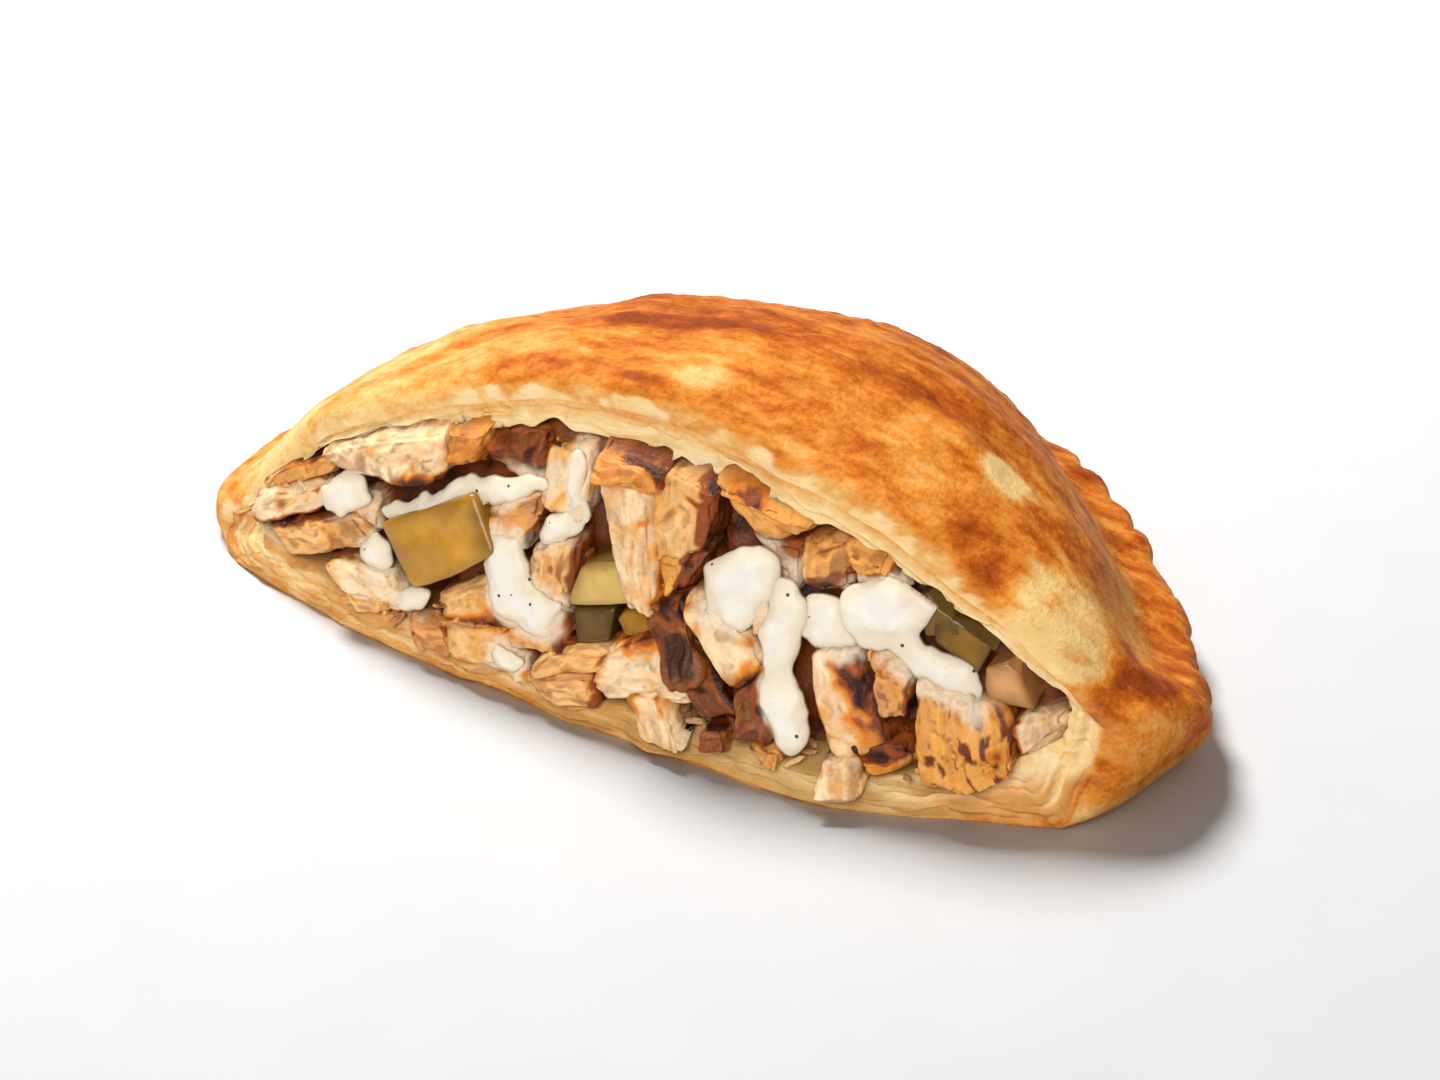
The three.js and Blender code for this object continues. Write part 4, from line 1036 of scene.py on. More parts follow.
# Shreds: how many lie on a square metre, how far behind the front, how far below the lip, their shares of the
# full length, spin, tones and roughness, and the seed of their places.
SHRED = SimpleNamespace(
    density=60000, behind=1.1, gap=4.5, steps=2, least=(0.4, 0.16, 0.12), most=(1.0, 0.3, 0.2),
    spin_from=(-0.4, -0.4, 0), spin_to=(0.4, 0.4, 2 * math.pi), darkest=0.7, palest=1.25,
    rough_scale=600, rough=0.0022, seed=4,
)
# Where crumbs of chicken lie along and behind the lower lip, on how many steps, and how far above its floor.
CRUMBS = SimpleNamespace(left=-84.0, right=60.0, along=180, front=-1.5, back=6.0, deep=10, lift=1.2, clump=9)
TONES = ("cream", "pale", "pink", "golden", "orange", "brown", "char")
DARK_TONES = ("brown", "char")


def block(directions, rng, roundness, tilt, chamfers):
    """How far a rounded, uneven block reaches in each direction, and how close each place is to its edges."""
    box = np.concatenate([np.eye(3), -np.eye(3)])
    normals = box + rng.uniform(-tilt, tilt, box.shape)
    cuts = rng.normal(size=(chamfers, 3))
    cuts /= np.linalg.norm(cuts, axis=1, keepdims=True)
    planes = np.concatenate([normals, cuts / rng.uniform(1.0, 1.3, (chamfers, 1))])
    facing = np.maximum(directions @ planes.T, 1e-6) ** roundness
    total = facing.sum(axis=1)
    return total ** (-1 / roundness), 1 - facing.max(axis=1) / total


def quad_size(corners):
    """Mean width and height of a piece with four corners."""
    a, b, c, d = np.array(corners, float)
    width = (np.linalg.norm(b - a) + np.linalg.norm(c - d)) / 2
    return width, (np.linalg.norm(a - d) + np.linalg.norm(b - c)) / 2


def on_quad(corners, unit, y):
    """Points in the opening from their shares, -1 to 1, across and up a piece with four corners."""
    a, b, c, d = np.array(corners, float)
    across, up = (unit[:, :1] + 1) / 2, (unit[:, 2:] + 1) / 2
    place = mix(mix(d, c, across), mix(a, b, across), up)
    return np.stack([place[:, 0], y, place[:, 1]], axis=1)


def side_share(unit, degrees):
    """How far points lie towards one side of their piece, by their shares across and up it."""
    return unit[:, 0] * math.cos(math.radians(degrees)) + unit[:, 2] * math.sin(math.radians(degrees))


def chunk_hue(piece, look, unit, edges, grain):
    """Colours of a piece of chicken: flesh, fibres, sear, specks and painted shade in its hollows,
    by its shares, edges and grain.
    """
    bent, dark, cream = grain.bent, piece.tone in DARK_TONES, piece.tone == "cream"
    tones = {key: np.array(getattr(look, key)) for key in TONES}
    base = tones[piece.tone]
    blend = FLESH.dark if dark else 1
    plain = FLESH.cream if cream else 1
    warm = ease(0.5 + 0.9 * fractal(bent, PATCHY.warm, 13))[:, None]
    hue = mix(base, mix(base, tones["golden"], FLESH.golden), blend * plain * warm)
    rosy = ease(0.4 + 0.8 * fractal(bent, PATCHY.rosy, 15))[:, None]
    hue = mix(hue, mix(base, tones["pink"], FLESH.pink), FLESH.rosy * blend * plain * rosy)
    fibrous = blend * (FLESH.cream_fibres if cream else FLESH.fibres)
    strands = ease((grain.strands - 0.1) / 0.5)[:, None]
    hue = mix(hue, tones["pink"] * np.array(STRAND_TINT), fibrous * strands)
    # Painted shade: the hollows between the lumps and fibres darken towards brown.
    deep = np.clip(-0.35 * grain.lumps - 0.5 * grain.fibres - 0.1, 0, 1)[:, None]
    hue = mix(hue, tones["brown"], FLESH.deep * deep)
    if dark:
        burnt = ease(0.5 + 1.3 * fractal(bent, PATCHY.burnt, 63))[:, None]
        hue = mix(hue, mix(tones["brown"], tones["char"], burnt), FLESH.burnt)

    across = ease((side_share(unit, piece.sear) - piece.start) / piece.spread)
    rim = ease((edges - SEARED.edge_from) / SEARED.edge_over)
    patches = fractal(bent, PATCHY.seared, 19)
    level = SEARED.side * across + SEARED.patches * patches + SEARED.edges * rim
    strength = {"golden": FLESH.golden_sear * blend, "own": blend}
    for tone, start, over in SEAR:
        tint = tones[piece.crust if tone == "own" else tone]
        hue = mix(hue, tint, strength.get(tone, 1) * ease((level - start) / over)[:, None])

    swirl = bent + np.stack([noise(bent, PATCHY.swirl, k) for k in (111, 113, 117)], axis=1)
    small, large = noise(swirl, PATCHY.small, 37), noise(swirl, PATCHY.large, 39)
    few = 0.45 - 0.15 * piece.specks
    dots = np.maximum(ease((small - few) / 0.25), ease((large - few) / 0.3)) * max(piece.specks, 0.3)
    hue = mix(hue, tones["brown"] * FLESH.speck, dots[:, None])
    return hue * (1 + FLESH.shade * fractal(swirl, PATCHY.shade, 43) * mix(1, 0.4, hue[:, 0]))[:, None]


def chunk_mesh(piece, seed, look):
    """One piece of chicken: points in mm, quads and colours."""
    rng = np.random.default_rng(seed)
    width, height = quad_size(piece.corners)
    steps = CHUNK.fine if max(width, height) > CHUNK.large else CHUNK.coarse
    directions, quads = ball(steps, CHUNK.front_bias)
    half = np.array([width, CHUNK.depth, height]) / 2
    reach, edges = block(directions, rng, CHUNK.roundness, CHUNK.tilt, CHUNK.chamfers)
    local = directions * reach[:, None] * half * CHUNK.full
    fibre_way = (local if width > height else local[:, ::-1]) + np.array([0, 0, 90.0 * seed])
    bends = np.stack([noise(fibre_way, GRAIN.bends, k) for k in (101, 103, 107)], axis=1)
    bent = fibre_way + GRAIN.bend * bends
    lumps = noise(fibre_way, GRAIN.lumps, 3) + 0.35 * noise(bent, GRAIN.small_lumps, 5)
    fibres = fractal(bent, GRAIN.fibres, 7)
    strands = fractal(bent, GRAIN.strands, 27)
    shredded = 1.7 if piece.tone in DARK_TONES else 0.6 + 1.5 * piece.specks**2
    relief = look.lump / MM * shredded * lumps + look.fibre / MM * (fibres - 0.5 * strands)
    nicks = ease(RAGGED.share + noise(bent, GRAIN.nicks, 29))
    ragged = ease((edges - RAGGED.start) / RAGGED.over) * nicks
    shaped = local + normals_of(local, quads) * (relief - RAGGED.depth * ragged)[:, None]
    unit = shaped / half
    placed = on_quad(piece.corners, unit, LIP_Y - piece.front + half[1] * CHUNK.full + shaped[:, 1])

    grain = SimpleNamespace(bent=bent, lumps=lumps, fibres=fibres, strands=strands)
    hue = chunk_hue(piece, look, unit, edges, grain)
    # Painted shade: the sides of a piece darken to brown behind its front, in the gaps between pieces.
    inward = ease((local[:, 1] + half[1] * CHUNK.full - GAP_DEPTH[0]) / (GAP_DEPTH[1] - GAP_DEPTH[0]))
    hue = mix(hue, np.array(look.brown) * FLESH.gap_tone, FLESH.gap * inward[:, None])
    uneven = FLESH.smear_uneven * fractal(placed, PATCHY.smear, 23)
    coat = sauce_coat(placed[:, 0], placed[:, 2], uneven) * (1 - inward)
    hue = mix(hue, np.array(look.sauce) * np.array(SMEAR_TINT), FLESH.smear * coat[:, None])
    return held_in(placed, LIP_GAP + LIP_GAP_STEP * (seed % 5)), quads, hue


@functools.cache
def all_chunks():
    look = bpy.context.scene.pie_filling
    return [chunk_mesh(piece, k + 1, look) for k, piece in enumerate(CHICKEN + BITS)]


def joined(meshes):
    """Points, quads and colours of several meshes as one."""
    starts = np.cumsum([0] + [len(m[0]) for m in meshes])
    points = np.concatenate([m[0] for m in meshes])
    quads = np.concatenate([m[1] + start for m, start in zip(meshes, starts)])
    return points, quads, np.concatenate([m[2] for m in meshes])


def flesh_piece(name, mesh, material, slot, node):
    """A piece with colours of its own, put in the place of a node."""
    points, faces, hues = mesh
    made = mesh_object(name, to_part(points), faces, material, colours={"flesh": hues})
    settle(made, slot, node)


# The filling's front is known on cells of this size, evened out over so many either way.
FRONT_CELL, FRONT_BLUR = 0.8, 2
# The heart of the heap: how far behind the lip its front lies, its steps, its gap to the crust and its lumps.
HEART_BACK = 6.0
HEART = SimpleNamespace(rows=42, columns=61, front_columns=62, gap=1.2, lumps=6, lump=2.2, mottle=4)


@functools.cache
def filling_front():
    """How far forward the filling stands, on cells of the opening from the left end's foot."""
    columns, rows = int((REACH_LEFT + REACH_RIGHT) / FRONT_CELL) + 1, int(CROWN / FRONT_CELL) + 1
    cells = np.full((columns, rows), LIP_Y + HEART_BACK)
    points = np.concatenate([m[0] for m in [*all_chunks(), *map(pickle_mesh, range(len(PICKLES)))]])
    i = np.clip(((points[:, 0] + REACH_LEFT) / FRONT_CELL).round().astype(int), 0, cells.shape[0] - 1)
    j = np.clip((points[:, 2] / FRONT_CELL).round().astype(int), 0, cells.shape[1] - 1)
    np.minimum.at(cells, (i, j), points[:, 1])
    for axis in (0, 1):
        steps = range(-FRONT_BLUR, FRONT_BLUR + 1)
        cells = sum(np.roll(cells, k, axis=axis) for k in steps) / len(steps)
    return cells


def front_at(x, z):
    cells = filling_front()
    i = np.clip((x + REACH_LEFT) / FRONT_CELL, 0, cells.shape[0] - 1.001)
    j = np.clip(z / FRONT_CELL, 0, cells.shape[1] - 1.001)
    a, b = i.astype(int), j.astype(int)
    s, t = i - a, j - b
    low = mix(cells[a, b], cells[a + 1, b], s)
    return mix(low, mix(cells[a, b + 1], cells[a + 1, b + 1], s), t)


def core_mesh(look):
    """The heap behind the pieces: it fills the cavity and its front is lumpy;
    its char and brown colours are partly painted shade for the gaps between the pieces.
    """
    s = np.linspace(0, 1, HEART.rows)[1:-1, None]
    theta = even_angles(HEART.columns)
    back = cavity_points(theta, s, HEART.gap)
    back[..., 1] = np.maximum(back[..., 1], LIP_Y + HEART_BACK)
    share_across = np.linspace(0, 1, HEART.front_columns)[1:-1][None, :, None]
    front = mix(back[:, -1:, :], back[:, :1, :], share_across)
    grid = np.concatenate([back, front], axis=1)
    facing = np.concatenate([np.zeros(len(theta)), np.ones(front.shape[1])])
    grid[..., 1] += facing * HEART.lump * fractal(grid, HEART.lumps, 81)
    sheet = Sheet()
    ids = sheet.add(grid)
    top = sheet.add(grid[0].mean(axis=0)[None])[0]
    bottom = sheet.add(grid[-1].mean(axis=0)[None])[0]
    loop = np.concatenate([ids, ids[:, :1]], axis=1)
    sheet.grid(list(loop))
    sheet.fan(top, loop[0])
    sheet.fan(bottom, loop[-1][::-1])
    points = sheet.all_points()
    # Painted shade: char mottled with brown, so that the heap shows dark in the gaps between the pieces.
    mottle = ease(0.5 + 0.6 * fractal(points, HEART.mottle, 83))[:, None]
    return points, sheet.faces, mix(np.array(look.char), np.array(look.brown), mottle)


def crumb_ground(look):
    """The floor along the lower lip where crumbs of chicken lie: points in mm, quads and colours."""
    along = np.linspace(CRUMBS.left, CRUMBS.right, CRUMBS.along)
    x, y = np.meshgrid(along, LIP_Y + np.linspace(CRUMBS.front, CRUMBS.back, CRUMBS.deep), indexing="ij")
    points = held_in(np.stack([x.ravel(), y.ravel(), np.zeros(x.size)], axis=1), CRUMBS.lift)
    quads = cell_quads(np.arange(x.size).reshape(x.shape)).reshape(-1, 4)
    warm = ease(0.5 + noise(points, 4, 85))[:, None]
    clumps = noise(points[quads].mean(axis=1), CRUMBS.clump, 87) > -0.1
    return points, quads[clumps], mix(np.array(look.pale), np.array(look.pink), warm)


def shred_ground(meshes, look):
    """Where shreds lie: faces that look forward and lie back a little, and the floor along the lower lip."""
    points, quads, hues = joined(meshes)
    corners = points[quads]
    forward = np.cross(corners[:, 2] - corners[:, 0], corners[:, 3] - corners[:, 1])[:, 1] < 0
    middle = corners.mean(axis=1)
    behind = middle[:, 1] - front_at(middle[:, 0], middle[:, 2])
    shown = (behind > SHRED.behind) & (middle[:, 1] < LIP_Y + HEART_BACK)
    shown &= np.linalg.norm(held_in(middle, SHRED.gap) - middle, axis=1) < 0.01
    return joined([(points, quads[forward & shown], hues), crumb_ground(look)])


def shred_tree(material):
    """Scatters short shreds over a surface, each with a colour of its own."""
    tree = bpy.data.node_groups.new("shreds", "GeometryNodeTree")
    tree.interface.new_socket("Surface", in_out="INPUT", socket_type="NodeSocketGeometry")
    for name, kind in (("Density", "Float"), ("Length", "Float"), ("Seed", "Int")):
        tree.interface.new_socket(name, in_out="INPUT", socket_type=f"NodeSocket{kind}")
    tree.interface.new_socket("Shreds", in_out="OUTPUT", socket_type="NodeSocketGeometry")

    def node(kind, inputs, **settings):
        """The outputs of a new node, with values or other outputs at its inputs."""
        made = tree.nodes.new(kind)
        for key, value in settings.items():
            setattr(made, key, value)
        for socket, value in inputs.items():
            if isinstance(value, bpy.types.NodeSocket):
                tree.links.new(value, made.inputs[socket])
            else:
                made.inputs[socket].default_value = value
        return made.outputs

    def scaled(vector, scale):
        return node("ShaderNodeVectorMath", {"Vector": vector, "Scale": scale}, operation="SCALE")["Vector"]

    def drawn(least, most):
        inputs = {"Min": least, "Max": most}
        return node("FunctionNodeRandomValue", inputs, data_type="FLOAT_VECTOR")["Value"]

    given = node("NodeGroupInput", {})
    places = {"Mesh": given["Surface"], "Density": given["Density"], "Seed": given["Seed"]}
    scatter = node("GeometryNodeDistributePointsOnFaces", places)
    shape = node("GeometryNodeMeshIcoSphere", {"Radius": 0.5, "Subdivisions": SHRED.steps})
    spin = {"Rotation": scatter["Rotation"], "Rotate By": drawn(SHRED.spin_from, SHRED.spin_to)}
    turn = node("FunctionNodeRotateRotation", spin, rotation_space="LOCAL")
    place = node("GeometryNodeInstanceOnPoints", {
        "Points": scatter["Points"],
        "Instance": shape["Mesh"],
        "Rotation": turn["Rotation"],
        "Scale": scaled(drawn(SHRED.least, SHRED.most), given["Length"]),
    })
    tone = node("FunctionNodeRandomValue", {2: SHRED.darkest, 3: SHRED.palest})[1]
    flesh = node("GeometryNodeInputNamedAttribute", {"Name": "flesh"}, data_type="FLOAT_COLOR")
    colours = {"Geometry": place["Instances"], "Name": "flesh", "Value": scaled(flesh["Attribute"], tone)}
    store = node("GeometryNodeStoreNamedAttribute", colours, data_type="FLOAT_COLOR", domain="INSTANCE")
    real = node("GeometryNodeRealizeInstances", {"Geometry": store["Geometry"]})
    rough = node("ShaderNodeTexNoise", {"Scale": SHRED.rough_scale})
    centred = node("ShaderNodeVectorMath", {0: rough["Color"], 1: (0.5, 0.5, 0.5)}, operation="SUBTRACT")
    uneven = {"Geometry": real["Geometry"], "Offset": scaled(centred["Vector"], SHRED.rough)}
    shift = node("GeometryNodeSetPosition", uneven)
    smooth = node("GeometryNodeSetShadeSmooth", {"Geometry": shift["Geometry"]})
    paint = node("GeometryNodeSetMaterial", {"Geometry": smooth["Geometry"], "Material": material})
    node("NodeGroupOutput", {"Shreds": paint["Geometry"]})
    return tree


def scatter_shreds(name, surface, material, size):
    """Shreds over a surface of points in mm, faces and colours, as one mesh object."""
    points, faces, hues = surface
    ground = mesh_object(name + "_ground", to_part(points), faces, material, colours={"flesh": hues})
    mesh = ground.data
    modifier = ground.modifiers.new("Shreds", "NODES")
    modifier.node_group = shred_tree(material)
    values = {"Density": SHRED.density, "Length": size, "Seed": SHRED.seed}
    for item in modifier.node_group.interface.items_tree:
        if item.in_out == "INPUT" and item.name in values:
            modifier[item.identifier] = values[item.name]
    depsgraph = bpy.context.evaluated_depsgraph_get()
    made = bpy.data.meshes.new_from_object(ground.evaluated_get(depsgraph))
    made.name = name
    bpy.data.objects.remove(ground)
    bpy.data.meshes.remove(mesh)
    piece = bpy.data.objects.new(name, made)
    bpy.context.scene.collection.objects.link(piece)
    return piece


def chicken_material():
    n = Nodes("grilled_chicken")
    fine = n.noise(1100, 3, 0.6)
    shade = n.ramp(fine, [(0.3, (0.9, 0.86, 0.82)), (0.6, (1.03, 1.02, 1.01))])
    n.shade_flesh(shade)
    n.set(Roughness=0.42, Subsurface_Weight=0.25, Subsurface_Radius=(1.0, 0.5, 0.3), Subsurface_Scale=0.002)
    n.set(Specular_IOR_Level=0.3)
    n.bump(fine, 0.0006, 0.5)
    return n.material


class PIE_OT_chicken(bpy.types.Operator):
    """Make the pieces of chicken in the opening and the heap behind them"""

    bl_idname = "pie.chicken"
    bl_label = "Chicken"

    def execute(self, context):
        look = context.scene.pie_filling
        material = chicken_material()
        meshes = all_chunks()
        half, large = len(CHICKEN) // 2, len(CHICKEN)
        groups = {
            "left": joined(meshes[:half]),
            "right": joined(meshes[half:large]),
            "bits": joined(meshes[large:]),
            "heart": core_mesh(look),
        }
        for name, mesh in groups.items():
            flesh_piece(f"chicken_{name}", mesh, material, "chicken", "chicken_filling")
        made = scatter_shreds("chicken_shreds", shred_ground(meshes, look), material, look.shred)
        settle(made, "chicken", "chicken_filling")
        return {"FINISHED"}


# Pickled cucumber.
class Slice(NamedTuple):
    """A piece of pickle: its corners along and up the cut, clockwise from the upper left, how far it stands
    out, its flesh colours in the middle and at the rim, and the side of its skin with where that starts."""

    corners: tuple
    front: float
    flesh: tuple
    edge: tuple
    skin: float
    start: float


PICKLES = [
    [Slice(((-58, 22), (-38, 34), (-32, 25), (-48, 12)), 2.8, (196, 140, 30), (156, 108, 16), 180, 0.9)],
    [
        Slice(((-15, 27), (-6, 31), (-1, 24), (-16, 20)), 0.5, (206, 172, 100), (170, 132, 56), -90, 2),
        Slice(((-15, 20), (-7, 22), (-7, 16), (-13, 14)), 0.3, (112, 82, 34), (84, 60, 20), -90, 2),
    ],
    [Slice(((-14, 28), (-9, 31), (-3, 25), (-10, 25)), -1, (138, 94, 8), (100, 68, 6), 90, 2)],
    [Slice(((-7, 21), (1, 25), (3, 19), (-4, 18)), -0.3, (156, 108, 12), (120, 80, 8), -90, 2)],
    [
        Slice(((47, 36), (51, 39), (56, 31), (50, 30)), -0.3, (134, 96, 16), (92, 66, 10), 90, 2),
        Slice(((51, 34), (62, 32), (60, 25), (52, 29)), -0.3, (138, 96, 16), (94, 66, 10), 90, 2),
    ],
    [Slice(((61, 27), (66, 29), (70, 21), (62, 21)), 0.2, (196, 144, 90), (160, 106, 56), 90, 2)],
]
# A piece of pickle: its depth, the steps of its mesh and how much closer they are in front, how rounded,
# tilted and chamfered a block it is, its bumps and its clouds.
PICKLE = SimpleNamespace(
    depth=9.0, steps=24, front_bias=0.1, roundness=24, tilt=0.05, chamfers=1, bump=0.18, bumps=3.5, clouds=5
)
PICKLE_SKIN = rgb(58, 66, 18)


def slice_mesh(piece, seed):
    """One piece of pickle: points in mm, quads and colours."""
    rng = np.random.default_rng(300 + seed)
    directions, quads = ball(PICKLE.steps, PICKLE.front_bias)
    width, height = quad_size(piece.corners)
    half = np.array([width, PICKLE.depth, height]) / 2
    reach, _ = block(directions, rng, PICKLE.roundness, PICKLE.tilt, PICKLE.chamfers)
    local = directions * reach[:, None] * half
    grain = local + np.array([0, 0, 70.0 * seed])
    shaped = local + normals_of(local, quads) * (PICKLE.bump * noise(grain, PICKLE.bumps, 47))[:, None]
    unit = shaped / half
    placed = on_quad(piece.corners, unit, LIP_Y - piece.front + half[1] + shaped[:, 1])
    rim = np.maximum(np.abs(local[:, 0] / half[0]), np.abs(local[:, 2] / half[2]))
    hue = mix(np.array(rgb(*piece.flesh)), np.array(rgb(*piece.edge)), ease((rim - 0.5) / 0.6)[:, None])
    hue = hue * (1 + 0.2 * fractal(grain, PICKLE.clouds, 53))[:, None]
    hue = mix(hue, np.array(PICKLE_SKIN), ease((side_share(unit, piece.skin) - piece.start) / 0.06)[:, None])
    return held_in(placed, PICKLE_GAP), quads, hue


def pickle_mesh(k):
    """All pieces of one pickle, by its place in the list."""
    return joined([slice_mesh(piece, 10 * (k + 1) + j) for j, piece in enumerate(PICKLES[k])])


def pickle_material():
    n = Nodes("pickled_cucumber")
    cloud = n.noise(320, 3, 0.5)
    shade = n.ramp(cloud, [(0.3, (0.82, 0.84, 0.8)), (0.7, (1.08, 1.06, 1.0))])
    n.shade_flesh(shade)
    n.set(Roughness=0.3, Subsurface_Weight=0.35, Subsurface_Radius=(1.0, 0.8, 0.2), Subsurface_Scale=0.004)
    n.set(Specular_IOR_Level=0.5, Coat_Weight=0.12, Coat_Roughness=0.2)
    n.bump(n.noise(700, 2, 0.5), 0.0003, 0.4)
    return n.material


class PIE_OT_pickles(bpy.types.Operator):
    """Make the pieces of pickled cucumber"""

    bl_idname = "pie.pickles"
    bl_label = "Pickles"

    def execute(self, context):
        material = pickle_material()
        for k in range(len(PICKLES)):
            flesh_piece(f"pickle_slice_{k + 1}", pickle_mesh(k), material, "pickle", f"pickle_{k + 1}")
        return {"FINISHED"}


# Garlic sauce.
class Dollop(NamedTuple):
    """A run of sauce: its place, size and turn on the opening, and how far it stands out."""

    at: tuple
    size: tuple
    turn: float
    front: float


SAUCES = [
    [Dollop((-67, 24), (12.5, 7), 27, 1)],
    [Dollop((-48, 28.5), (24, 4.2), 27, 0.8), Dollop((-32, 36.5), (17, 4.2), 23, 0.8)],
    [Dollop((-17, 41), (13, 4.2), -87, 1), Dollop((-20, 33), (10, 5), 45, 1)],
    [Dollop((-58, 15), (7.5, 6), -34, 1.2)],
    [Dollop((-29, 22.5), (14.5, 9), -63, 1.8), Dollop((-24, 18), (11.5, 8.5), -9, 1.8)],
    [Dollop((-48.5, 11), (6.5, 4.2), 14, 2)],
    [Dollop((17, 34), (14, 10), 23, 1.5), Dollop((17, 29), (10, 7.5), -14, 1.5)],
    [Dollop((26, 26.5), (17, 6.5), -81, 1.8), Dollop((30, 14.5), (12.5, 8), -63, 3.0)],
    [Dollop((43, 33.5), (15.5, 10), 13, 1), Dollop((53, 25.3), (18, 5.8), -24, 1)],
    [Dollop((-26, 8), (6.5, 4), 11, 3)],
    [Dollop((33, 30), (11.5, 7), -6, 0.8)],
]
# How far around a sauce the pieces are smeared with it.
SMEAR = 1.6
# Steps of a sauce's mesh, the room around it, how far its rim may move, and the least slope that counts.
SAUCE_STEP, SAUCE_MARGIN, SAUCE_RIM, SAUCE_FLATTEST = 0.3, 3.0, 1.5, 0.2
# How thick a sauce is, over what way it grows to that, and how far its back lies behind.
SAUCE_THICK, SAUCE_SLOPE, SAUCE_BACK = 1.25, 2.6, 0.8
# How far a sauce sinks into the filling, and how far it may climb forward over it.
SAUCE_SUNK, SAUCE_CLIMB = 0.45, 0.8
# How square its runs are, how softly they join, and how far out they count.
SAUCE_SQUARE, SAUCE_JOIN, SAUCE_FAR = 2.6, 0.7, 9
# Swells of the sauce's thickness: how high they are, and their size.
SAUCE_SWELL, SAUCE_RIPPLE = (0.3, 4.0), (0.12, 1.4)
# Waves of the sauce's outline: how far they reach, and their size.
SAUCE_WAVES = ((1.25, 5.2), (0.4, 2.0))


def sauce_wobble(x, z):
    """Places of the opening, shifted unevenly so that outlines drawn over them come out uneven."""
    spot = np.stack([x, z, np.zeros_like(x)], axis=-1)
    for k, (far, size) in enumerate(SAUCE_WAVES):
        x = x + far * noise(spot, size, 401 + 10 * k)
        z = z + far * noise(spot, size, 403 + 10 * k)
    return x, z


def sauce_inside(x, z, runs):
    """How far inside a sauce's outline places lie, in mm, and how far out of the lip's plane it stands."""
    total, front = 0, 0
    for run in runs:
        c, s = math.cos(math.radians(run.turn)), math.sin(math.radians(run.turn))
        dx, dz = x - run.at[0], z - run.at[1]
        right, up = np.abs(dx * c + dz * s) * 2 / run.size[0], np.abs(dz * c - dx * s) * 2 / run.size[1]
        reach = (right**SAUCE_SQUARE + up**SAUCE_SQUARE) ** (1 / SAUCE_SQUARE)
        weight = np.exp((1 - np.minimum(reach, SAUCE_FAR)) * run.size[1] / 2 / SAUCE_JOIN)
        total, front = total + weight, front + weight * run.front
    return SAUCE_JOIN * np.log(total), front / total


def sauce_coat(x, z, uneven):
    """How much sauce is smeared on a place of the opening, from 0 to 1."""
    x, z = sauce_wobble(x, z)
    most = np.max([sauce_inside(x, z, runs)[0] for runs in SAUCES], axis=0)
    return ease((most + SMEAR * (1 - uneven)) / SMEAR)


def without_pinches(cells):
    """Cells of a grid without those that touch others at a corner only."""
    while True:
        a, b, c, d = cells[:-1, :-1], cells[1:, :-1], cells[:-1, 1:], cells[1:, 1:]
        rising, falling = a & d & ~b & ~c, b & c & ~a & ~d
        if not (rising | falling).any():
            return cells
        cells[:-1, :-1] &= ~rising
        cells[1:, :-1] &= ~falling


def sauce_mesh(runs):
    """A thin layer of sauce that lies on the filling: points in mm, quads, and how full each place is."""
    spots = np.array([run.at for run in runs], float)
    margin = max(run.size[0] for run in runs) / 2 + SAUCE_MARGIN
    sides = [np.arange(spots[:, k].min() - margin, spots[:, k].max() + margin, SAUCE_STEP) for k in (0, 1)]
    x, z = np.meshgrid(*sides, indexing="ij")
    inside, front = sauce_inside(*sauce_wobble(x, z), runs)
    shown = inside > 0
    cells = without_pinches(shown[:-1, :-1] & shown[1:, :-1] & shown[1:, 1:] & shown[:-1, 1:])
    count = sum(np.pad(cells, ((i, 1 - i), (j, 1 - j))).astype(int) for i in (0, 1) for j in (0, 1))
    rim = (count > 0) & (count < 4)
    slope_x, slope_z = np.gradient(inside, SAUCE_STEP)
    slope = np.hypot(slope_x, slope_z)
    step = np.minimum(inside / np.maximum(slope, SAUCE_FLATTEST), SAUCE_RIM * SAUCE_STEP) * rim
    steep = np.maximum(slope, 1e-6)
    x, z = x - step * slope_x / steep, z - step * slope_z / steep
    part = np.clip(inside / SAUCE_SLOPE, 0, 1) * ~rim
    spot = np.stack([x, z, np.zeros_like(x)], axis=-1)
    swell = SAUCE_SWELL[0] * noise(spot, SAUCE_SWELL[1], 421)
    full = part * (2 - part) * (1 + swell + SAUCE_RIPPLE[0] * noise(spot, SAUCE_RIPPLE[1], 423))
    lies_on = np.clip(front_at(x, z), LIP_Y - front - SAUCE_CLIMB, LIP_Y - front) + SAUCE_SUNK
    near_side = np.stack([x, lies_on - SAUCE_THICK * full, z], axis=-1)
    far_side = np.stack([x, lies_on + SAUCE_BACK, z], axis=-1)
    used = count > 0
    ids = np.cumsum(used).reshape(used.shape) - 1
    quads = cell_quads(ids)[cells]
    total = used.sum()
    edges = np.concatenate([quads[:, [k, (k + 1) % 4]] for k in range(4)])
    keys = edges[:, 0] * total + edges[:, 1]
    lone = edges[~np.isin(keys, edges[:, 1] * total + edges[:, 0])]
    walls = np.stack([lone[:, 1], lone[:, 0], lone[:, 0] + total, lone[:, 1] + total], axis=1)
    points = held_in(np.concatenate([near_side[used], far_side[used]]), SAUCE_GAP)
    return points, np.concatenate([quads, quads[:, ::-1] + total, walls]), np.tile(part[used], 2)


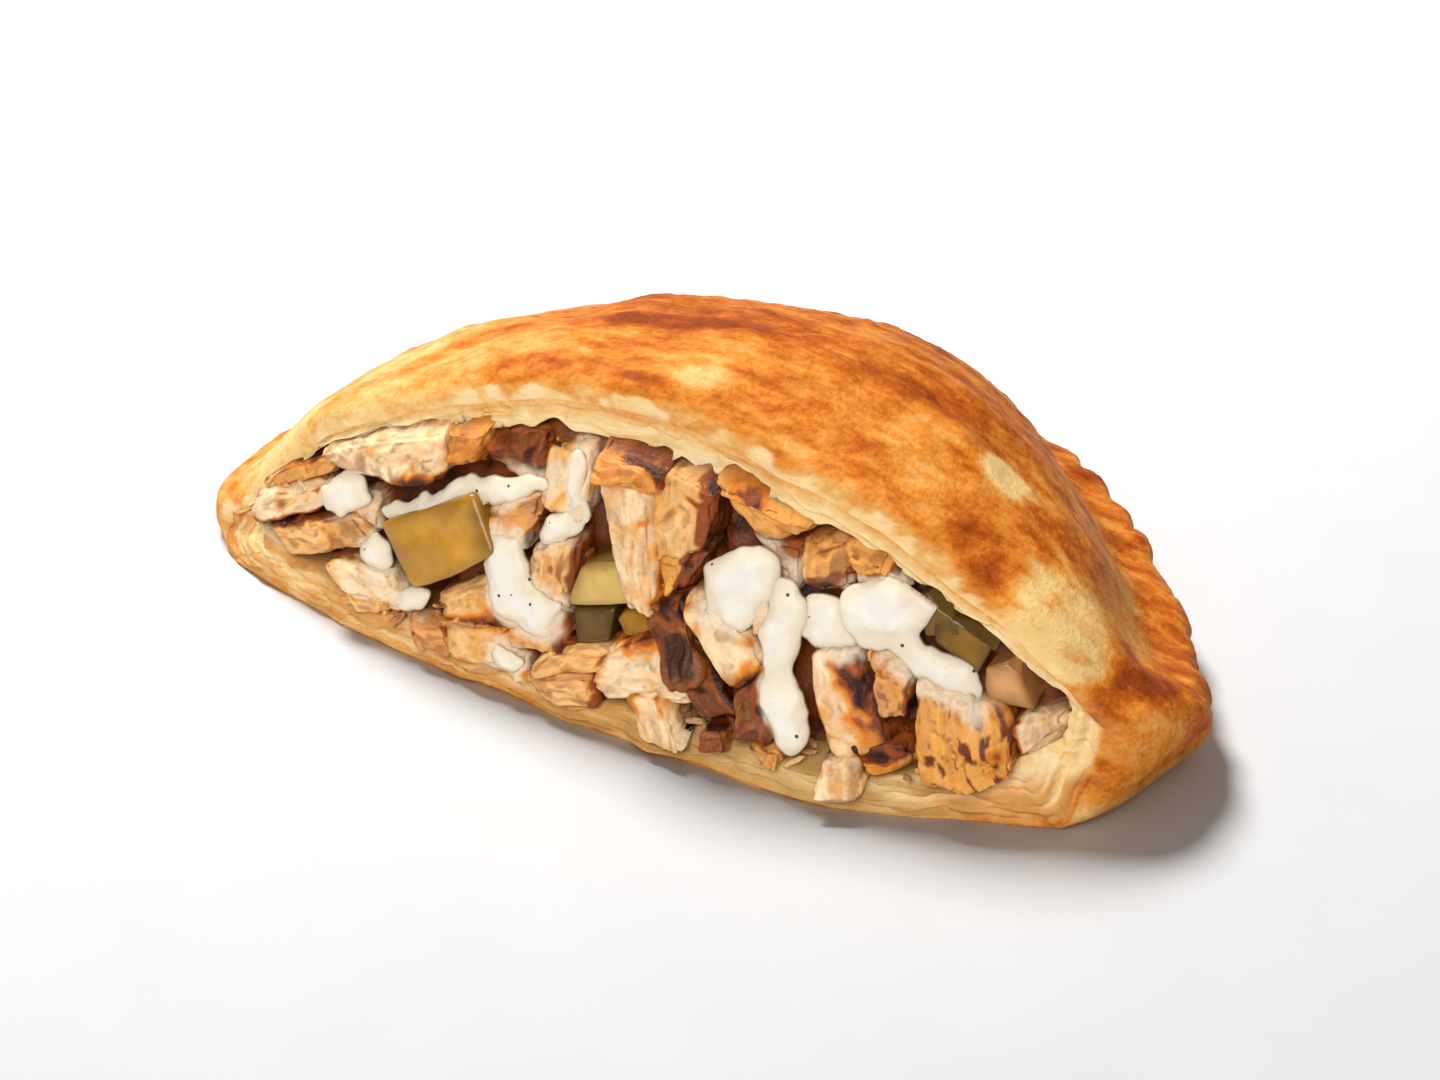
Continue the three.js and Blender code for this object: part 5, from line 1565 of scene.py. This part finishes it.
def sauce_material(look):
    n = Nodes("garlic_sauce")
    cloud = n.noise(240, 3, 0.5)
    low = tuple(c * 0.94 for c in look.sauce)
    white = n.ramp(cloud, [(0.3, low), (0.65, tuple(look.sauce))])
    thin = tuple(c * t for c, t in zip(look.sauce, SMEAR_TINT))
    white = n.blend(n.math("POWER", n.attribute("full"), 1.4, clamp=True), thin, white)
    cells = n.add("ShaderNodeTexVoronoi")
    cells.inputs["Scale"].default_value = 420
    n.join(n.coordinates, cells.inputs["Vector"])
    small = n.math("LESS_THAN", cells.outputs["Distance"], 0.14)
    few = n.math("GREATER_THAN", cells.outputs["Color"], 0.72)
    n.join(n.blend(n.math("MULTIPLY", small, few), white, tuple(look.fleck)), n.shader.inputs["Base Color"])
    n.set(Roughness=0.42, Subsurface_Weight=0.5, Subsurface_Radius=(1.0, 0.85, 0.65), Subsurface_Scale=0.003)
    n.set(Specular_IOR_Level=0.4)
    n.bump(n.noise(500, 3, 0.5), 0.0006, 0.35)
    return n.material


class PIE_OT_sauce(bpy.types.Operator):
    """Make the dollops and drips of garlic sauce"""

    bl_idname = "pie.sauce"
    bl_label = "Garlic sauce"

    def execute(self, context):
        material = sauce_material(context.scene.pie_filling)
        for k, runs in enumerate(SAUCES, start=1):
            points, quads, full = sauce_mesh(runs)
            made = mesh_object(f"sauce_dollop_{k}", to_part(points), quads, material, {"full": full})
            settle(made, "sauce", f"sauce_{k}")
        return {"FINISHED"}


# Stage.
CAMERA_AZIMUTH, CAMERA_ELEVATION, CAMERA_DISTANCE = 28.08, 32.22, 729.0
CAMERA_TARGET = np.array([0.0, 18.2, 22.8])
CAMERA_AIM_LEFT, CAMERA_AIM_DOWN = 6.94, 6.16
CAMERA_LENS = 100.0
CAMERA_CLIP = (0.01, 50)
# The stage in metres: half the floor's side, the light from all around, the floor's shades, the lights' aim.
FLOOR_HALF, WORLD_LIGHT = 3.0, 0.19
FLOOR_SHADES = [(0.3, (0.9, 0.9, 0.9)), (0.7, (0.92, 0.92, 0.92))]
LIGHT_TARGET = np.array([0, 0, 0.03])
# Two lights: how far left of the target they stand, how far beyond it, how high, their size and their power.
KEY = SimpleNamespace(left=0.34, ahead=0.6, up=0.9, size=0.42, power=16)
FILL = SimpleNamespace(left=0.22, ahead=-0.9, up=0.75, size=0.8, power=11)


def aim(thing, target):
    thing.rotation_mode = "QUATERNION"
    thing.rotation_quaternion = (Vector(target) - thing.location).to_track_quat("-Z", "Y")


def soft_light(name, light, right, ahead):
    data = bpy.data.lights.new(name, "AREA")
    data.shape = "DISK"
    data.size = light.size
    data.energy = light.power
    made = bpy.data.objects.new(name, data)
    made.location = LIGHT_TARGET - right * light.left + ahead * light.ahead + np.array([0, 0, light.up])
    aim(made, LIGHT_TARGET)
    bpy.context.scene.collection.objects.link(made)
    return made


class PIE_OT_stage(bpy.types.Operator):
    """Make the floor, the soft light and the camera"""

    bl_idname = "pie.stage"
    bl_label = "Stage"

    def execute(self, context):
        scene = context.scene
        a, e = math.radians(CAMERA_AZIMUTH), math.radians(CAMERA_ELEVATION)
        back = np.array([math.sin(a) * math.cos(e), -math.cos(a) * math.cos(e), math.sin(e)])
        right = np.array([math.cos(a), math.sin(a), 0])
        up = np.cross(back, right)
        data = bpy.data.cameras.new("camera")
        data.lens = CAMERA_LENS
        data.clip_start, data.clip_end = CAMERA_CLIP
        camera = bpy.data.objects.new("camera", data)
        scene.collection.objects.link(camera)
        camera.location = (CAMERA_TARGET + back * CAMERA_DISTANCE + SHIFT) * MM
        aim(camera, (CAMERA_TARGET - right * CAMERA_AIM_LEFT - up * CAMERA_AIM_DOWN + SHIFT) * MM)
        scene.camera = camera

        mesh = bpy.data.meshes.new("floor")
        corners = [(x * FLOOR_HALF, y * FLOOR_HALF, 0) for x, y in ((-1, -1), (1, -1), (1, 1), (-1, 1))]
        mesh.from_pydata(corners, [], [(0, 1, 2, 3)])
        floor = bpy.data.objects.new("floor", mesh)
        n = Nodes("pale_floor")
        n.join(n.ramp(n.noise(40, 2, 0.5), FLOOR_SHADES), n.shader.inputs["Base Color"])
        n.set(Roughness=0.7, Specular_IOR_Level=0.1)
        mesh.materials.append(n.material)
        scene.collection.objects.link(floor)

        world = bpy.data.worlds.new("studio")
        world.use_nodes = True
        sky = world.node_tree.nodes["Background"].inputs
        sky["Color"].default_value = (1, 1, 1, 1)
        sky["Strength"].default_value = WORLD_LIGHT
        scene.world = world
        ahead = np.array([-math.sin(a), math.cos(a), 0])
        soft_light("key", KEY, right, ahead)
        fill = soft_light("fill", FILL, right, ahead)
        pieces = bpy.data.collections.new("lit_by_fill")
        for thing in scene.objects:
            if thing.type == "MESH" and thing is not floor:
                pieces.objects.link(thing)
        fill.light_linking.receiver_collection = pieces
        scene.view_settings.view_transform = "Standard"
        return {"FINISHED"}


class PIE_PT_panel(bpy.types.Panel):
    """Lists the steps that build the pie"""

    bl_idname = "PIE_PT_panel"
    bl_label = "Chicken shawarma pie"
    bl_space_type = "VIEW_3D"
    bl_region_type = "UI"
    bl_category = "Pie"

    def draw(self, context):
        for step in STEPS:
            self.layout.operator(step.bl_idname)
        for group in (context.scene.pie_crust, context.scene.pie_filling):
            box = self.layout.box()
            for key in group.__annotations__:
                box.prop(group, key)


STEPS = (PIE_OT_crust, PIE_OT_chicken, PIE_OT_pickles, PIE_OT_sauce, PIE_OT_stage)
CLASSES = (PieCrustLook, PieFillingLook, *STEPS, PIE_PT_panel)


def register():
    for cls in CLASSES:
        bpy.utils.register_class(cls)
    bpy.types.Scene.pie_crust = bpy.props.PointerProperty(type=PieCrustLook)
    bpy.types.Scene.pie_filling = bpy.props.PointerProperty(type=PieFillingLook)


def unregister():
    del bpy.types.Scene.pie_filling
    del bpy.types.Scene.pie_crust
    for cls in reversed(CLASSES):
        bpy.utils.unregister_class(cls)


def main():
    register()
    for step in STEPS:
        family, name = step.bl_idname.split(".")
        getattr(getattr(bpy.ops, family), name)()


if __name__ == "__main__":
    main()
